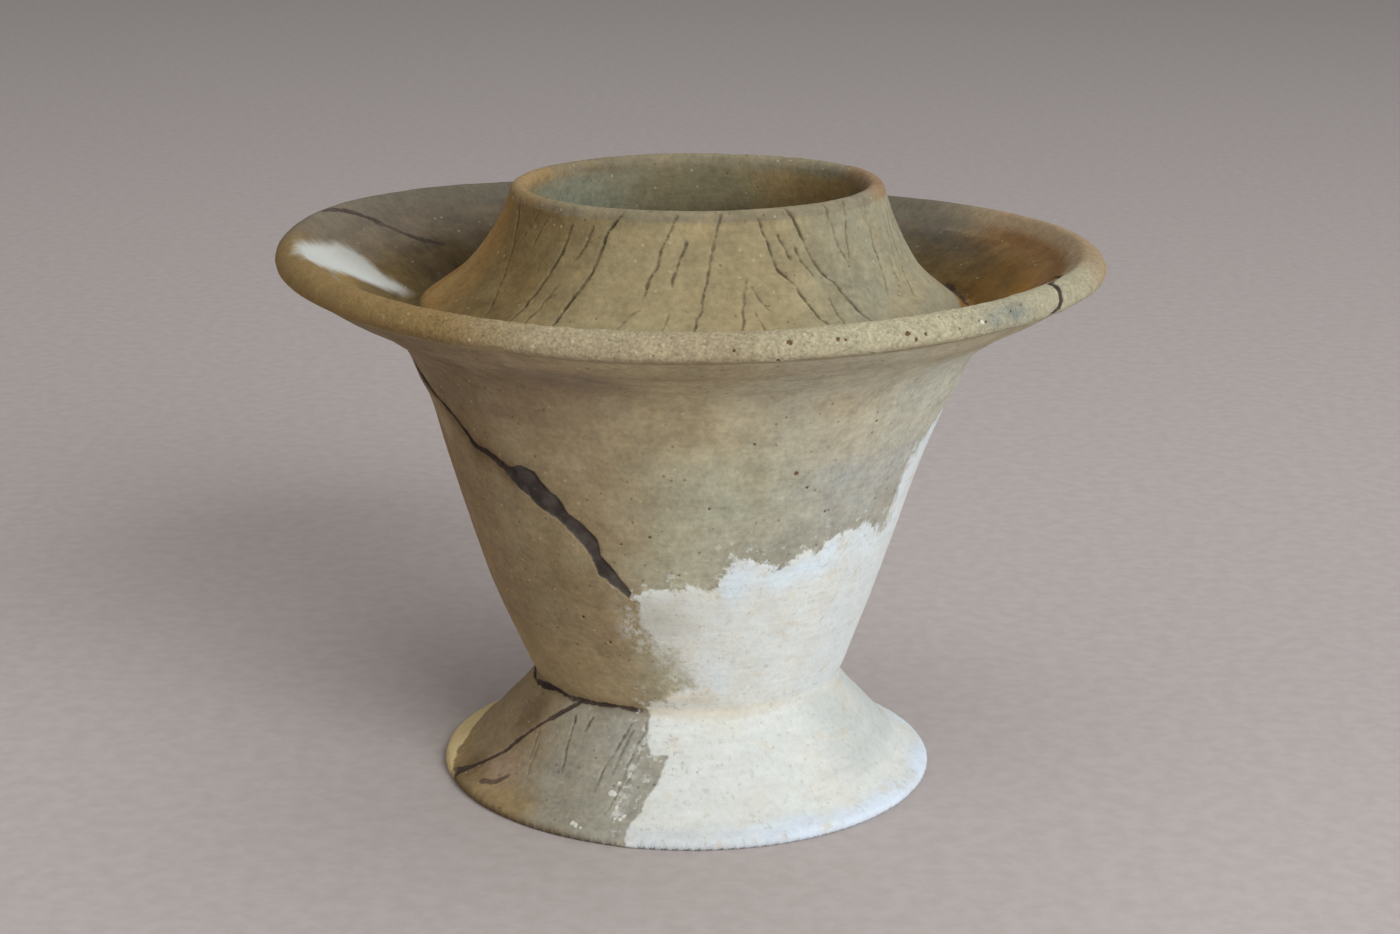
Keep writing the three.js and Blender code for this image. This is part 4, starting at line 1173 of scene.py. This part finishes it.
# smears: thin plaster dragged over the clay by the edge, and clay showing through inside it
near_edge = g.ramp(g.math("ABSOLUTE", g.math("ADD", g.attr("m_plaster"), 1.2)), 4.5, 0.5)
smear = g.math("MULTIPLY", g.math("MULTIPLY", near_edge, g.ramp(g.noise(mm, 1.7, 3.0, 0.6, (9, 9, 1)), 0.57, 0.66)), 0.55)
plf = g.math("MAXIMUM", plf, smear)
holes = g.math("MULTIPLY", g.ramp(g.noise(mm, 2.1, 4.0, 0.6, (2, 7, 9)), 0.60, 0.68), g.ramp(g.attr("m_plaster"), 7.0, 1.0))
plf = g.math("MULTIPLY", plf, g.math("SUBTRACT", 1.0, g.math("MULTIPLY", holes, 0.5)))
pcol = g.attr("plaster_tone", True)
pcol = shade(pcol, (mid, 0.10), (fine, 0.12), (streak, 0.10))
pcol = g.mix(g.math("MULTIPLY", g.ramp(g.noise(mm, 4.2, 4.0, 0.65, (6, 1, 3)), 0.55, 0.72), 0.42), pcol, rgb(203, 184, 152))
pcol = g.mix(g.math("MULTIPLY", g.ramp(fine, 0.38, 0.24), 0.35), pcol, rgb(160, 150, 132))
pcol = g.mix(g.math("MULTIPLY", dark, 0.25), pcol, rgb(140, 122, 98))
pcol = g.mix(g.math("MULTIPLY", g.ramp(g.noise(mm, 1.8, 3.0, 0.6, (5, 5, 2)), 0.62, 0.70), 0.30), pcol, rgb(168, 160, 146))
col = g.mix(plf, col, pcol)
# cream fill at the foot's left edge
heelf = g.ramp(g.math("ADD", g.attr("m_heel"), g.math("MULTIPLY_ADD", fine, 1.0, -0.5)), -0.3, 0.3)
col = g.mix(heelf, col, g.mix(g.ramp(mid, 0.4, 0.65, 0, 0.4), rgb(214, 194, 144), rgb(196, 172, 120)))
# droplets of plaster
col = g.mix(g.ramp(g.attr("m_drops"), 0.10, 0.60, 0.0, 0.85), col, rgb(216, 215, 205))
dust = g.math("MULTIPLY", g.attr("m_dust"), g.ramp(g.noise(mm, 1.5, 3.0, 0.6, (4, 4, 9)), 0.44, 0.60, 0.0, 0.8))
col = g.mix(dust, col, rgb(204, 204, 196))
# dark fill and cracks
fl = g.ramp(g.math("ADD", g.attr("m_filler"), g.math("MULTIPLY_ADD", fine, 0.5, -0.25)), -0.18, 0.18)
col = g.mix(fl, col, g.mix(g.ramp(mid, 0.35, 0.7), rgb(64, 57, 54), rgb(92, 84, 77)))
cr = g.math("ADD", g.attr("m_crack"), g.math("MULTIPLY_ADD", fine, 0.4, -0.2))
crf = g.math("MULTIPLY", g.ramp(cr, 0.22, -0.12), g.attr("m_crack_dark"))
col = g.mix(crf, col, g.mix(g.ramp(mid, 0.4, 0.7), rgb(60, 50, 46), rgb(86, 73, 64)))

hgt = g.math("ADD", g.math("MULTIPLY", grain, 0.5), g.math("MULTIPLY", fine, 0.9))
hgt = g.math("ADD", hgt, g.math("MULTIPLY", g.math("MULTIPLY", sand, g.attr("m_sand")), 1.5))
hgt = g.math("ADD", hgt, g.math("MULTIPLY", streak, 0.35))
bump = g.node("ShaderNodeBump", Strength=0.75, Distance=0.00016, Height=hgt)
bsdf = g.node("ShaderNodeBsdfPrincipled")
g.put(bsdf.inputs["Base Color"], col)
g.put(bsdf.inputs["Roughness"], g.ramp(fine, 0.2, 0.8, 0.80, 0.95))
g.put(bsdf.inputs["Normal"], bump.outputs[0])
bsdf.inputs["Specular IOR Level"].default_value = 0.12
bsdf.inputs["Diffuse Roughness"].default_value = 0.35
g.put(g.out.inputs["Surface"], bsdf.outputs[0])
mesh.materials.append(g.mat)

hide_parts("footed_jar")
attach(jar, "root")

# =====================================================================================================================
# Floor and light
# =====================================================================================================================
fg = Graph("pale_floor")

fcoord = fg.t.nodes.new("ShaderNodeTexCoord").outputs["Object"]
ff = fg.noise(fcoord, 0.004, 3.0, 0.6)
fb = fg.node("ShaderNodeBsdfPrincipled")
fg.put(fb.inputs["Base Color"], fg.mix(fg.ramp(ff, 0.3, 0.7), rgb(186, 176, 172), rgb(193, 184, 180)))
fb.inputs["Roughness"].default_value = 0.9
fb.inputs["Specular IOR Level"].default_value = 0.15
fg.put(fg.out.inputs["Surface"], fb.outputs[0])
fm = bpy.data.meshes.new("floor_plane")
fm.from_pydata([(-6, -6, 0), (6, -6, 0), (6, 6, 0), (-6, 6, 0)], [], [(0, 1, 2, 3)])
fm.materials.append(fg.mat)
floor = bpy.data.objects.new("floor", fm)
bpy.context.scene.collection.objects.link(floor)


def area(name, place, size, watts, colour, aim=(0, 0, 0.06)):
    d = bpy.data.lights.new(name, "AREA")
    d.shape = "RECTANGLE"
    d.size, d.size_y = size
    d.energy = watts
    d.color = colour
    o = bpy.data.objects.new(name, d)
    o.location = place
    o.rotation_mode = "QUATERNION"
    o.rotation_quaternion = (Vector(aim) - Vector(place)).to_track_quat("-Z", "Y")
    bpy.context.scene.collection.objects.link(o)
    return o


area("key_right", (0.85, -1.25, 0.82), (1.0, 1.0), 27.0, (0.95, 0.98, 1.0))
area("fill_left", (-1.5, -0.6, 0.7), (1.0, 1.0), 3.5, (1.0, 0.88, 0.70))
area("top_soft", (0.2, 0.2, 1.6), (1.4, 1.4), 5.0, (1.0, 0.99, 0.97))
world = bpy.data.worlds.new("soft_world")
world.use_nodes = True
world.node_tree.nodes["Background"].inputs[0].default_value = (0.95, 0.96, 1.0, 1.0)
world.node_tree.nodes["Background"].inputs[1].default_value = 0.32
bpy.context.scene.world = world
bpy.context.scene.view_settings.view_transform = "Standard"
bpy.context.scene.view_settings.look = "None"
bpy.context.scene.view_settings.exposure = 0.0
bpy.context.scene.view_settings.gamma = 1.0
